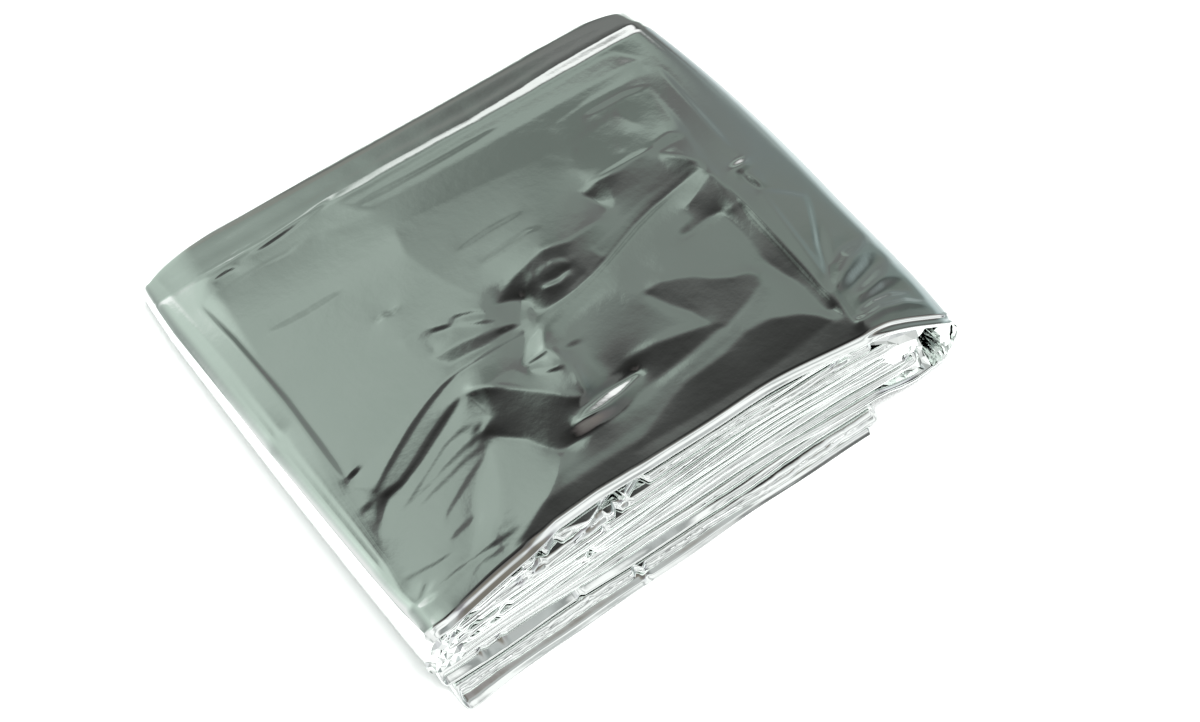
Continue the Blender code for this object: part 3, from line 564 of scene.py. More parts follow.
def slanted(level, x, swell, reach, lean=0.0, lip=(0.06, 0.30)):
    """Two leaves, one above the other, slanting back to the next pass. With lean the lower one
    is steep and the upper one leans back."""
    found = [(reach * 0.35 + 1.6, np.full(x.shape, -1.0)), (reach * 0.1 + 0.55, -0.97 * swell)]
    split = 0.08 * wobble(x, 3.7 * level, 2.6)
    for leaf in range(2):
        low, high = ((0.0, 0.5 + split), (0.5 + split, 1.0))[leaf]
        drift = np.abs(0.12 * reach * wobble(x, 7.1 * level + 2.3 * leaf))
        for t, depth in ((0.06, 0.20), (0.20, 0.05), (0.48, 0.0), (0.76, 0.04), (0.97, 0.10)):
            at = low + t * (high - low)
            leaning = 0.22 * reach + 0.82 * t + 0.3 * depth if leaf else 0.16 * reach * t + 0.6 * depth + drift
            even = reach * at * 0.86 + depth * 0.6 + drift
            found.append((even * (1 - lean) + leaning * lean, (-0.97 + 1.94 * at) * swell))
        if leaf == 0:
            open_here = np.clip(wobble(x, 1.7 * level + 0.4, 1.7) - 0.25, 0.0, 1.0)
            inset = reach * (high * 0.86 * (1 - lean) + 0.22 * lean) + 0.12 + 0.9 * open_here * (1 - 0.4 * lean)
            found.append((inset, (-0.97 + 1.94 * high) * swell))
    # The lip above them, wide in some places and narrow in others.
    wide = lip[0] + lip[1] * np.clip(0.42 + 0.9 * wobble(x, 5.3 * level + 1.0, 2.2), 0.0, 1.0)
    found.append((found[-1][0] + wide, found[-1][1] + 0.05 * wide))
    found.append((reach * 1.10 + 1.5, np.full(x.shape, 1.0)))
    return found


def blend(first, second, share):
    return [(a[0] * (1 - share) + b[0] * share, a[1] * (1 - share) + b[1] * share) for a, b in zip(first, second)]


def nose_shape(level, x):
    """Front profile from the lower face to the upper one: for each point, the distance behind
    the front edge and the height as a share of half the thickness."""
    if level == TOP:
        low = 0.05 * wobble(x, 5.1, 1.2)
        narrow = 0.35 + 0.65 * ease((x + 64.0) / 20.0)
        rolled = [(min(d, 1.9) + max(d - 1.9, 0.0) * narrow, h + low * (1 - abs(h))) for d, h in ROLLED]
        steep = blend(rolled, [(d, h + low * (1 - abs(h))) for d, h in STEEP], ease((x + 38.0) / 7.0))
        return blend(steep, LEAF, ease((x - 44.0) / 8.0))
    reach = shelf(level, x)
    if level == 0:
        size = (reach + 0.1) / 2.4
        return [(d * size, h + 0.06 * (1 - abs(h)) * wobble(x, 8.8)) for d, h in GENTLE_LOW]
    if level == 1:
        return slanted(level, x, 1.10 + 0.05 * wobble(x, 6.0, 1.4), 0.92 * reach, 0.0, (0.06, 0.16))
    if level >= 6:
        return slanted(level, x, 1.0 + 0.09 * wobble(x, 2.9 * level, 1.4), reach)
    lean = 0.8 + 0.2 * wobble(x, 1.3 * level, 1.2)
    found = slanted(level, x, 1.02 + 0.06 * wobble(x, 2.9 * level, 1.4), reach, lean, (0.08, 0.26))
    if level == 2:
        size = (reach + 0.1) / 1.9
        gentle = [(d * size, h + 0.10 * (1 - abs(h)) * wobble(x, 5.5, 1.3)) for d, h in GENTLE]
        return blend(gentle, found, ease((x + 8.0) / 14.0))
    return found


BACK_SHAPE = (  # distance from the back edge, height share, downwards
    (2.4, 1.0),
    (0.9, 0.96),
    (0.25, 0.70),
    (0.02, 0.36),
    (0.5, 0.05),
    (0.1, -0.30),
    (0.3, -0.66),
    (1.0, -0.95),
    (2.4, -1.0),
)


def ring_of(level, x, rows_first, rows_second, forward):
    """The loop's points as (kind, distance, way, height share). The first face is the one on
    the left of the strip's way: the lower one of a pass that the strip follows along +X."""
    nose = nose_shape(level, x)
    back = [("back", d, 0.0, np.full(x.shape, s)) for d, s in BACK_SHAPE]
    face_low, face_high = nose[0][0], nose[-1][0]
    front = [("front", d, 0.0, s) for d, s in nose]
    below = np.full(x.shape, -1.0)
    if forward:
        ring = [("between", face_low, t, below) for t in rows_first] + front
        ring += [("between", face_high, t, -below) for t in rows_second] + back
        return ring
    ring = [("between", face_high, t, -below) for t in rows_first] + front[::-1]
    ring += [("between", face_low, t, below) for t in rows_second] + back[::-1]
    return [(kind, d, t, -s) for kind, d, t, s in ring]


def depth_of(point, front, back):
    kind, distance, way, _share = point
    if kind == "front":
        return front + distance
    if kind == "back":
        return back - distance
    return (front + distance) * (1 - way) + (back - 2.6) * way


def pass_part(level, forward, columns, rows):
    """Middle line, thickness and height share of every column and loop point of a pass."""
    share = np.linspace(0.0, 1.0, columns)
    if not forward:
        share = share[::-1]
    x0 = end_of(level, "left", 0.0) + share * (end_of(level, "right", 0.0) - end_of(level, "left", 0.0))
    ring = ring_of(level, x0, rows[0], rows[1], forward)
    middle = np.zeros((columns, len(ring), 3))
    thick, height = np.zeros((columns, len(ring))), np.zeros((columns, len(ring)))
    for r, point in enumerate(ring):
        y = np.zeros(columns)
        for _ in range(4):
            left, right = end_of(level, "left", y), end_of(level, "right", y)
            x = left + share * (right - left)
            y = depth_of(point, film_front(level, x), back_edge(level, x))
        z, t = middle_height(level, x, y)
        middle[:, r] = np.stack([x, y, z], -1)
        thick[:, r], height[:, r] = t, point[3]
    return middle, thick, height


def turn_part(a, b, side, angles, rows):
    """The same for the turn from one end of pass a to the same end of pass b."""
    sign = -1.0 if side == "left" else 1.0
    wrap = TOP in (a, b)
    mix = 0.5 - 0.5 * np.cos(angles)
    x0 = np.full(len(angles), float(end_of(a, side, 0.0)))
    ring_a = ring_of(a, x0, rows[0], rows[1], side == "right")
    ring_b = ring_of(b, x0, rows[0], rows[1], side == "left")
    count = len(ring_a)
    middle = np.zeros((len(angles), count, 3))
    thick, height = np.zeros((len(angles), count)), np.zeros((len(angles), count))
    for r in range(count):
        y = np.zeros(len(angles))
        for _ in range(4):
            x = end_of(a, side, y)
            a_y = depth_of(ring_a[r], film_front(a, x), back_edge(a, x))
            b_y = depth_of(ring_b[r], film_front(b, x), back_edge(b, x))
            y = a_y + mix * (b_y - a_y)
        a_z, a_thick = middle_height(a, x, y)
        b_z, b_thick = middle_height(b, x, y)
        sine, cosine = np.sin(angles), np.cos(angles)
        half = 0.5 * np.abs(b_z - a_z)
        if wrap:
            power = 2.0 / WRAP_SQUARENESS
            reach = np.minimum(WRAP_DEPTH_LEFT if side == "left" else WRAP_DEPTH_RIGHT, half)
            sine, cosine = np.abs(sine) ** power, np.sign(cosine) * np.abs(cosine) ** power
        else:
            reach = half
        z = 0.5 * (a_z + b_z) - 0.5 * (b_z - a_z) * cosine
        middle[:, r] = np.stack([x + sign * reach * sine, y, z], -1)
        thick[:, r] = a_thick + mix * (b_thick - a_thick)
        height[:, r] = ring_a[r][3] + mix * (ring_b[r][3] - ring_a[r][3])
    return middle, thick, height


def film_mesh(name, steps, columns, segments, rows):
    """A run of passes and turns as one closed tube of film."""
    parts = []
    for step in steps:
        if step[0] == "pass":
            parts.append(pass_part(step[1], step[2], columns, rows))
        else:
            count = segments if TOP in step[1:3] else 9
            first = 0 if step is steps[0] else 1
            last = count if step is steps[-1] else count - 1
            angles = np.pi * np.arange(first, last + 1) / count
            parts.append(turn_part(step[1], step[2], step[3], angles, rows))
    middle = np.concatenate([p[0] for p in parts])
    thick = np.concatenate([p[1] for p in parts])
    height = np.concatenate([p[2] for p in parts])
    dx = np.gradient(middle[:, :, 0], axis=0)
    dz = np.gradient(middle[:, :, 2], axis=0)
    length = np.maximum(np.hypot(dx, dz), 1e-6)
    place = middle.copy()
    place[:, :, 0] += -dz / length * 0.5 * thick * height
    place[:, :, 2] += dx / length * 0.5 * thick * height
    x, y, z = place[:, :, 0], place[:, :, 1], place[:, :, 2]
    lift = relief_at(x, y) * z / along(STACK, y)
    place[:, :, 2] = np.maximum(z + lift, 0.0)
    place[:, :, 0] -= MIDDLE[0]
    place[:, :, 1] -= MIDDLE[1]
    count, loop = place.shape[:2]
    i, j = np.meshgrid(np.arange(count - 1), np.arange(loop), indexing="ij")
    after = (j + 1) % loop
    faces = np.stack([i * loop + j, (i + 1) * loop + j, (i + 1) * loop + after, i * loop + after], -1).reshape(-1, 4)
    faces = [tuple(int(v) for v in f) for f in faces]
    # The two cut ends are closed from face to face.
    for start, turned in ((0, False), ((count - 1) * loop, True)):
        low, high = 0, loop - 1
        while high - low > 2:
            face = (start + low, start + low + 1, start + high - 1, start + high)
            faces.append(face[::-1] if turned else face)
            low, high = low + 1, high - 1
        if high - low == 2:
            face = (start + low, start + low + 1, start + high)
            faces.append(face[::-1] if turned else face)
    mesh = bpy.data.meshes.new(name)
    mesh.from_pydata([tuple(p) for p in (place.reshape(-1, 3) * MM).tolist()], [], faces)
    mesh.validate()
    mesh.shade_smooth()
    piece = bpy.data.objects.new(name, mesh)
    bpy.context.scene.collection.objects.link(piece)
    return piece


SPARSE = np.array([0.97, 0.85, 0.70, 0.55, 0.40, 0.28, 0.16, 0.07, 0.03])
FINE = 0.006 + 0.976 * np.arange(236) / 235.0

under = [NAMES.index(n) for n in ("under_1", "under_2", "under_3", "cradle")]
inner = [NAMES.index(f"inner_{i}") for i in range(1, 9)]
under_steps = [("pass", under[0], False)]
for a, b in zip(under, under[1:]):
    side = "left" if under_steps[-1][2] is False else "right"
    under_steps += [("turn", a, b, side), ("pass", b, side == "left")]
inner_steps = [("pass", inner[0], True)]
for a, b in zip(inner, inner[1:]):
    side = "left" if inner_steps[-1][2] is False else "right"
    inner_steps += [("turn", a, b, side), ("pass", b, side == "left")]
top_steps = [("turn", inner[0], TOP, "left"), ("pass", TOP, True), ("turn", TOP, under[-1], "right")]

foil_top = film_mesh("foil_top", top_steps, 276, 26, (SPARSE, FINE))
foil_inner = film_mesh("foil_inner", inner_steps, 236, 26, (SPARSE, SPARSE[::-1]))
foil_under = film_mesh("foil_under", under_steps, 260, 26, (SPARSE, SPARSE[::-1]))

# ---------------------------------------------------------------------------
# Crumpled film tucked in at the two ends of the front. Rows go down the height and columns
# along X; each number is the point's y, in millimetres in the part's frame.

TUCK_RIGHT = (
    (44.0, 47.0, 49.5, 51.6, 53.2, 54.6, 55.8, 56.9, 57.9, 58.8, 59.7, 60.7, 61.8, 63.0, 64.0),
    (
        (15.4, (-44.8, -46.4, -47.9, -48.4, -48.7, -49.0, -49.3, -49.5, -49.7, -49.9, -50.1, -50.3, -50.6, -50.9, -51.2)),
        (14.4, (-45.6, -47.6, -48.9, -49.4, -49.8, -50.1, -50.4, -50.6, -50.8, -51.0, -50.8, -51.3, -51.0, -51.4, -51.5)),
        (13.1, (-47.0, -48.8, -50.0, -50.6, -50.9, -51.2, -51.3, -51.0, -49.4, -46.0, -49.8, -51.5, -51.2, -51.6, -51.7)),
        (11.7, (-47.4, -49.4, -50.8, -51.2, -51.5, -51.6, -51.0, -50.6, -39.5, -33.0, -37.5, -51.1, -51.7, -51.4, -51.8)),
        (10.2, (-47.8, -49.9, -51.2, -51.6, -51.8, -51.0, -51.6, -50.2, -38.5, -32.0, -36.0, -50.6, -51.5, -51.8, -51.9)),
        (8.8, (-48.0, -50.2, -51.6, -51.9, -51.2, -51.6, -51.0, -51.7, -43.0, -32.0, -35.0, -50.2, -51.8, -51.4, -52.0)),
        (7.4, (-48.2, -50.2, -51.2, -51.4, -50.0, -46.0, -49.8, -51.6, -43.0, -33.0, -35.5, -45.0, -51.4, -51.8, -52.1)),
        (6.0, (-48.4, -50.0, -50.6, -51.0, -51.6, -50.6, -51.8, -52.6, -50.6, -34.8, -38.0, -39.0, -52.0, -52.4, -52.1)),
        (4.8, (-48.7, -50.2, -51.0, -51.4, -50.8, -51.8, -52.4, -51.4, -53.2, -41.5, -49.0, -43.0, -53.0, -52.0, -52.4)),
        (3.8, (-48.8, -50.4, -51.6, -51.0, -51.8, -51.0, -53.0, -52.4, -54.0, -47.0, -54.0, -47.5, -53.8, -52.4, -52.8)),
        (2.8, (-49.0, -50.5, -51.4, -51.8, -51.4, -52.2, -52.2, -53.8, -52.6, -54.2, -52.8, -54.0, -52.6, -53.4, -52.9)),
    ),
)
TUCK_LEFT = (
    (-66.1, -65.2, -64.2, -63.2, -62.2, -61.2, -60.2, -59.0, -57.6),
    (
        (16.2, (-50.4, -50.8, -51.4, -51.8, -51.8, -51.4, -51.0, -50.6, -50.0)),
        (14.8, (-52.6, -53.4, -53.6, -54.0, -53.6, -54.2, -53.4, -53.0, -52.0)),
        (14.3, (-53.6, -53.6, -54.3, -54.0, -54.7, -54.4, -54.2, -53.6, -52.6)),
        (12.6, (-53.4, -54.2, -53.6, -54.6, -53.9, -54.6, -53.8, -54.2, -53.0)),
        (11.0, (-54.4, -53.8, -54.7, -54.0, -54.8, -53.9, -54.8, -54.0, -53.6)),
        (10.5, (-54.3, -54.6, -54.6, -54.9, -55.0, -54.8, -54.8, -55.1, -54.2)),
        (9.0, (-53.7, -54.6, -53.9, -54.8, -54.0, -54.7, -53.9, -54.5, -53.8)),
        (7.4, (-54.6, -53.9, -54.9, -54.2, -54.9, -54.0, -55.0, -54.1, -54.3)),
        (6.9, (-54.5, -54.8, -54.8, -55.1, -54.9, -55.0, -55.0, -54.9, -54.4)),
    ),
)


def tuck_mesh(name, table, wrap, thickness=0.12):
    """A crumpled sheet through the table's points, with flat facets. It stays inside the wrap,
    given by the X where it starts to turn, its reach and the height of its middle."""
    xs, rows = table
    zs = np.array([row[0] for row in rows], float)
    ys = np.array([row[1] for row in rows], float)
    x, z = np.meshgrid(np.array(xs, float), zs)
    x = x + 0.22 * wobble(z * 6.0 + x * 3.1, 2.7)
    z = z + 0.08 * wobble(x * 7.0, 6.1)
    start, reach, middle = wrap
    past = np.clip((x - start) / reach, 0.0, 0.96)
    z = middle + (z - middle) * (1.0 - past**WRAP_SQUARENESS) ** (1.0 / WRAP_SQUARENESS)
    points, faces = [], []
    high, wide = ys.shape
    for back in (0.0, thickness):
        for r in range(high):
            for c in range(wide):
                points.append((x[r, c] * MM, (ys[r, c] + back) * MM, max(z[r, c], 0.25) * MM))
    far = high * wide
    for r in range(high - 1):
        for c in range(wide - 1):
            a, b, e, d = r * wide + c, r * wide + c + 1, (r + 1) * wide + c + 1, (r + 1) * wide + c
            halves = ((a, d, e), (a, e, b)) if (r + c) % 2 else ((a, d, b), (b, d, e))
            faces += halves
            faces += [(h[0] + far, h[2] + far, h[1] + far) for h in halves]
    rim = (
        [(0, c) for c in range(wide)]
        + [(r, wide - 1) for r in range(1, high)]
        + [(high - 1, c) for c in range(wide - 2, -1, -1)]
        + [(r, 0) for r in range(high - 2, 0, -1)]
    )
    for (r1, c1), (r2, c2) in zip(rim, rim[1:] + rim[:1]):
        a, b = r1 * wide + c1, r2 * wide + c2
        faces.append((a, b, b + far, a + far))
    mesh = bpy.data.meshes.new(name)
    mesh.from_pydata(points, [], faces)
    mesh.validate()
    piece = bpy.data.objects.new(name, mesh)
    bpy.context.scene.collection.objects.link(piece)
    return piece


foil_tuck_right = tuck_mesh("foil_tuck_right", TUCK_RIGHT, (60.9, 3.7, 9.0))
foil_tuck_left = tuck_mesh("foil_tuck_left", TUCK_LEFT, (-62.3, -3.9, 10.6))

# ---------------------------------------------------------------------------
# Metallised film.


def foil_material():
    material = bpy.data.materials.new("foil")
    material.use_nodes = True
    tree = material.node_tree
    shader = tree.nodes["Principled BSDF"]
    shader.inputs["Metallic"].default_value = 1.0
    shader.inputs["Base Color"].default_value = (0.80, 0.83, 0.81, 1.0)
    place = tree.nodes.new("ShaderNodeTexCoord")
    cloud = tree.nodes.new("ShaderNodeTexNoise")
    cloud.inputs["Scale"].default_value = 90.0
    cloud.inputs["Detail"].default_value = 4.0
    tree.links.new(place.outputs["Object"], cloud.inputs["Vector"])
    rough = tree.nodes.new("ShaderNodeMapRange")
    rough.inputs["From Min"].default_value = 0.3
    rough.inputs["From Max"].default_value = 0.7
    rough.inputs["To Min"].default_value = 0.025
    rough.inputs["To Max"].default_value = 0.06
    tree.links.new(cloud.outputs["Fac"], rough.inputs["Value"])
    tree.links.new(rough.outputs["Result"], shader.inputs["Roughness"])
    tint = tree.nodes.new("ShaderNodeMix")
    tint.data_type = "RGBA"
    tint.inputs[6].default_value = (0.76, 0.80, 0.775, 1.0)
    tint.inputs[7].default_value = (0.83, 0.855, 0.84, 1.0)
    tree.links.new(cloud.outputs["Fac"], tint.inputs["Factor"])
    tree.links.new(tint.outputs[2], shader.inputs["Base Color"])
    fine = tree.nodes.new("ShaderNodeTexNoise")
    fine.inputs["Scale"].default_value = 420.0
    fine.inputs["Detail"].default_value = 3.0
    tree.links.new(place.outputs["Object"], fine.inputs["Vector"])
    bump = tree.nodes.new("ShaderNodeBump")
    bump.inputs["Strength"].default_value = 0.10
    bump.inputs["Distance"].default_value = 0.00012
    tree.links.new(fine.outputs["Fac"], bump.inputs["Height"])
    tree.links.new(bump.outputs["Normal"], shader.inputs["Normal"])
    return material


foil = foil_material()
for piece in (foil_top, foil_inner, foil_under, foil_tuck_right, foil_tuck_left):
    piece.data.materials.append(foil)
    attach(piece, "root")
    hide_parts("foil_sheet")

# ---------------------------------------------------------------------------
# Studio: a pale floor, soft light and the surroundings that the film mirrors.

floor_mesh = bpy.data.meshes.new("floor")
floor_mesh.from_pydata([(-9, -9, 0), (9, -9, 0), (9, 9, 0), (-9, 9, 0)], [], [(0, 1, 2, 3)])
floor = bpy.data.objects.new("floor", floor_mesh)
bpy.context.scene.collection.objects.link(floor)
floor.location.z = -0.00005
paper = bpy.data.materials.new("paper")
paper.use_nodes = True
paper_shader = paper.node_tree.nodes["Principled BSDF"]
paper_shader.inputs["Base Color"].default_value = (0.86, 0.87, 0.865, 1.0)
paper_shader.inputs["Roughness"].default_value = 0.9
paper_shader.inputs["Specular IOR Level"].default_value = 0.1
floor_mesh.materials.append(paper)

# BEGIN SURROUNDINGS
# The light that comes from each direction. BANDS run from the far horizon (0) over the zenith
# (90) to the horizon behind the camera (180), and each table stands at one place across, from
# the left (-1) to the right (1).
BANDS = (
    # across, ((angle, (r, g, b)), ...)
    (-0.950, ((0, (1.100, 1.100, 1.100)), (10, (0.600, 0.660, 0.630)), (25, (0.340, 0.380, 0.360)), (45, (0.460, 0.520, 0.490)), (62, (0.360, 0.400, 0.380)), (86, (0.800, 0.860, 0.830)), (100, (1.000, 1.000, 1.000)), (148, (1.000, 1.000, 1.000)), (164, (0.450, 0.480, 0.470)), (178, (1.100, 1.100, 1.100)))),
    (-0.500, ((0, (1.300, 1.300, 1.300)), (10, (0.589, 0.686, 0.624)), (30, (0.490, 0.571, 0.520)), (38, (0.697, 0.814, 0.740)), (41, (1.126, 1.145, 1.132)), (47, (1.126, 1.145, 1.132)), (50, (0.631, 0.736, 0.669)), (58, (0.561, 0.654, 0.595)), (66, (0.631, 0.736, 0.669)), (75, (0.886, 1.035, 0.941)), (100, (0.886, 1.035, 0.941)), (110, (1.100, 1.100, 1.100)), (180, (1.100, 1.100, 1.100)))),
    (-0.340, ((0, (1.300, 1.300, 1.300)), (2, (0.349, 0.406, 0.370)), (5, (0.147, 0.150, 0.146)), (9, (0.262, 0.269, 0.245)), (15, (0.281, 0.287, 0.262)), (18, (0.273, 0.317, 0.289)), (21, (0.300, 0.349, 0.318)), (24, (0.329, 0.382, 0.349)), (27, (0.425, 0.494, 0.450)), (34, (0.431, 0.501, 0.456)), (41, (0.448, 0.521, 0.475)), (44, (0.589, 0.686, 0.624)), (47, (0.589, 0.686, 0.624)), (50, (0.497, 0.578, 0.527)), (56, (0.448, 0.521, 0.475)), (60, (0.349, 0.406, 0.370)), (65, (0.074, 0.075, 0.073)), (69, (0.167, 0.147, 0.144)), (76, (0.272, 0.260, 0.245)), (84, (0.212, 0.207, 0.200)), (93, (0.212, 0.222, 0.216)), (99, (1.220, 1.220, 1.220)), (106, (1.220, 1.220, 1.220)), (113, (0.580, 0.600, 0.600)), (120, (1.220, 1.220, 1.220)), (134, (1.220, 1.220, 1.220)), (142, (0.660, 0.670, 0.690)), (150, (1.220, 1.220, 1.220)), (164, (0.420, 0.440, 0.430)), (176, (1.300, 1.300, 1.300)))),
    (-0.220, ((0, (1.300, 1.300, 1.300)), (2, (0.349, 0.406, 0.370)), (5, (0.129, 0.132, 0.128)), (9, (0.195, 0.199, 0.194)), (16, (0.218, 0.223, 0.217)), (19.5, (0.112, 0.114, 0.111)), (23, (0.107, 0.109, 0.106)), (25.5, (1.065, 1.083, 1.070)), (29.5, (1.065, 1.083, 1.070)), (32, (0.208, 0.240, 0.220)), (35, (0.349, 0.406, 0.370)), (38, (0.248, 0.287, 0.262)), (42, (0.300, 0.349, 0.318)), (45, (0.381, 0.442, 0.403)), (54, (0.391, 0.455, 0.415)), (57.5, (0.300, 0.349, 0.318)), (60, (0.135, 0.155, 0.142)), (64, (0.033, 0.034, 0.033)), (69, (0.167, 0.147, 0.144)), (76, (0.272, 0.260, 0.245)), (93, (0.212, 0.222, 0.216)), (99, (1.220, 1.220, 1.220)), (106, (1.220, 1.220, 1.220)), (113, (0.580, 0.600, 0.600)), (120, (1.220, 1.220, 1.220)), (134, (1.220, 1.220, 1.220)), (142, (0.660, 0.670, 0.690)), (150, (1.220, 1.220, 1.220)), (164, (0.420, 0.440, 0.430)), (176, (1.300, 1.300, 1.300)))),
    (-0.155, ((0, (1.300, 1.300, 1.300)), (4, (0.460, 0.535, 0.488)), (7, (0.218, 0.223, 0.217)), (16, (0.210, 0.215, 0.209)), (19.5, (0.102, 0.104, 0.101)), (23, (0.092, 0.094, 0.091)), (25.5, (1.180, 1.176, 1.176)), (29.5, (1.180, 1.176, 1.176)), (32, (0.170, 0.174, 0.169)), (34, (0.339, 0.394, 0.359)), (36.5, (0.329, 0.382, 0.349)), (38.5, (0.172, 0.199, 0.182)), (42, (0.179, 0.207, 0.189)), (44, (0.248, 0.287, 0.262)), (46.5, (0.291, 0.338, 0.308)), (49, (0.349, 0.406, 0.370)), (53, (0.381, 0.442, 0.403)), (55.5, (0.179, 0.207, 0.189)), (58, (0.066, 0.067, 0.065)), (62, (0.024, 0.024, 0.023)), (68, (0.112, 0.099, 0.097)), (75, (0.245, 0.234, 0.220)), (92, (0.212, 0.222, 0.216)), (99, (1.220, 1.220, 1.220)), (106, (1.220, 1.220, 1.220)), (113, (0.580, 0.600, 0.600)), (120, (1.220, 1.220, 1.220)), (134, (1.220, 1.220, 1.220)), (142, (0.660, 0.670, 0.690)), (150, (1.220, 1.220, 1.220)), (164, (0.420, 0.440, 0.430)), (176, (1.300, 1.300, 1.300)))),
    (-0.118, ((0, (1.300, 1.300, 1.300)), (4, (0.460, 0.535, 0.488)), (7, (0.218, 0.223, 0.217)), (16, (0.210, 0.215, 0.209)), (19.5, (0.097, 0.099, 0.096)), (23, (0.087, 0.089, 0.087)), (25.5, (1.213, 1.185, 1.200)), (29.5, (1.213, 1.185, 1.200)), (32, (0.154, 0.157, 0.152)), (34, (0.339, 0.394, 0.359)), (36.5, (0.329, 0.382, 0.349)), (38.5, (0.169, 0.195, 0.178)), (42, (0.169, 0.195, 0.178)), (44, (0.231, 0.268, 0.245)), (46.5, (0.256, 0.297, 0.271)), (49, (0.329, 0.382, 0.349)), (52, (0.349, 0.406, 0.370)), (54.5, (0.159, 0.183, 0.168)), (57, (0.066, 0.067, 0.065)), (61, (0.028, 0.028, 0.028)), (68, (0.112, 0.099, 0.097)), (75, (0.245, 0.234, 0.220)), (92, (0.212, 0.222, 0.216)), (99, (1.220, 1.220, 1.220)), (106, (1.220, 1.220, 1.220)), (113, (0.580, 0.600, 0.600)), (120, (1.220, 1.220, 1.220)), (134, (1.220, 1.220, 1.220)), (142, (0.660, 0.670, 0.690)), (150, (1.220, 1.220, 1.220)), (164, (0.420, 0.440, 0.430)), (176, (1.300, 1.300, 1.300)))),
    (-0.078, ((0, (1.300, 1.300, 1.300)), (4, (0.460, 0.535, 0.488)), (7, (0.218, 0.223, 0.217)), (16, (0.203, 0.207, 0.201)), (19.5, (0.102, 0.104, 0.101)), (23, (0.097, 0.099, 0.096)), (25.5, (1.213, 1.185, 1.200)), (29.5, (1.213, 1.185, 1.200)), (32, (0.154, 0.157, 0.152)), (34, (0.300, 0.349, 0.318)), (36.5, (0.291, 0.338, 0.308)), (38.5, (0.167, 0.170, 0.166)), (42, (0.170, 0.174, 0.169)), (44, (0.218, 0.247, 0.228)), (49.5, (0.225, 0.256, 0.237)), (51.5, (0.175, 0.195, 0.183)), (53.5, (0.129, 0.132, 0.128)), (55.5, (0.078, 0.080, 0.078)), (58.5, (0.042, 0.042, 0.041)), (64, (0.018, 0.018, 0.017)), (68, (0.112, 0.099, 0.097)), (75, (0.245, 0.234, 0.220)), (92, (0.212, 0.222, 0.216)), (99, (1.220, 1.220, 1.220)), (106, (1.220, 1.220, 1.220)), (113, (0.580, 0.600, 0.600)), (120, (1.220, 1.220, 1.220)), (134, (1.220, 1.220, 1.220)), (142, (0.660, 0.670, 0.690)), (150, (1.220, 1.220, 1.220)), (164, (0.420, 0.440, 0.430)), (176, (1.300, 1.300, 1.300)))),
    (0.050, ((0, (1.300, 1.300, 1.300)), (4, (0.460, 0.535, 0.488)), (7, (0.226, 0.231, 0.224)), (16, (0.203, 0.207, 0.201)), (23, (0.170, 0.174, 0.169)), (32, (0.196, 0.218, 0.212)), (37, (0.204, 0.226, 0.220)), (44, (0.204, 0.227, 0.213)), (49.5, (0.215, 0.249, 0.228)), (51.5, (0.179, 0.207, 0.189)), (53.5, (0.129, 0.132, 0.128)), (55.5, (0.074, 0.075, 0.073)), (58.5, (0.039, 0.039, 0.038)), (64, (0.016, 0.016, 0.016)), (68, (0.112, 0.099, 0.097)), (75, (0.245, 0.234, 0.220)), (92, (0.212, 0.222, 0.216)), (99, (1.220, 1.220, 1.220)), (106, (1.220, 1.220, 1.220)), (113, (0.580, 0.600, 0.600)), (120, (1.220, 1.220, 1.220)), (134, (1.220, 1.220, 1.220)), (142, (0.660, 0.670, 0.690)), (150, (1.220, 1.220, 1.220)), (164, (0.420, 0.440, 0.430)), (176, (1.300, 1.300, 1.300)))),
    (0.120, ((0, (1.300, 1.300, 1.300)), (4, (0.460, 0.535, 0.488)), (7, (0.226, 0.231, 0.224)), (16, (0.210, 0.215, 0.209)), (23, (0.170, 0.174, 0.169)), (27, (0.245, 0.278, 0.276)), (32, (0.262, 0.301, 0.294)), (37, (0.204, 0.234, 0.232)), (44, (0.208, 0.232, 0.217)), (49.5, (0.172, 0.199, 0.182)), (52.5, (0.146, 0.169, 0.155)), (55, (0.147, 0.150, 0.146)), (58.5, (0.129, 0.132, 0.128)), (64, (0.135, 0.138, 0.134)), (69, (0.160, 0.147, 0.144)), (73, (0.220, 0.195, 0.185)), (76, (0.310, 0.287, 0.280)), (80, (0.442, 0.418, 0.422)), (84, (0.519, 0.497, 0.509)), (92, (0.351, 0.362, 0.360)), (99, (1.220, 1.220, 1.220)), (106, (1.220, 1.220, 1.220)), (113, (0.580, 0.600, 0.600)), (120, (1.220, 1.220, 1.220)), (134, (1.220, 1.220, 1.220)), (142, (0.660, 0.670, 0.690)), (150, (1.220, 1.220, 1.220)), (164, (0.420, 0.440, 0.430)), (176, (1.300, 1.300, 1.300)))),
    (0.220, ((0, (1.100, 1.100, 1.100)), (8, (0.560, 0.635, 0.651)), (16, (0.442, 0.497, 0.503)), (24, (0.395, 0.447, 0.446)), (32, (0.362, 0.412, 0.410)), (37, (0.228, 0.269, 0.262)), (44, (0.212, 0.256, 0.245)), (47, (0.160, 0.192, 0.185)), (50, (0.106, 0.123, 0.118)), (55, (0.112, 0.123, 0.120)), (61, (0.135, 0.135, 0.135)), (68, (0.174, 0.160, 0.161)), (74, (0.245, 0.222, 0.193)), (78, (0.272, 0.251, 0.224)), (80, (0.430, 0.418, 0.405)), (84, (0.574, 0.592, 0.592)), (89, (0.467, 0.497, 0.496)), (94, (0.254, 0.278, 0.276)), (99, (1.220, 1.220, 1.220)), (106, (1.220, 1.220, 1.220)), (113, (0.580, 0.600, 0.600)), (120, (1.220, 1.220, 1.220)), (134, (1.220, 1.220, 1.220)), (142, (0.660, 0.670, 0.690)), (150, (1.220, 1.220, 1.220)), (164, (0.420, 0.440, 0.430)), (176, (1.300, 1.300, 1.300)))),
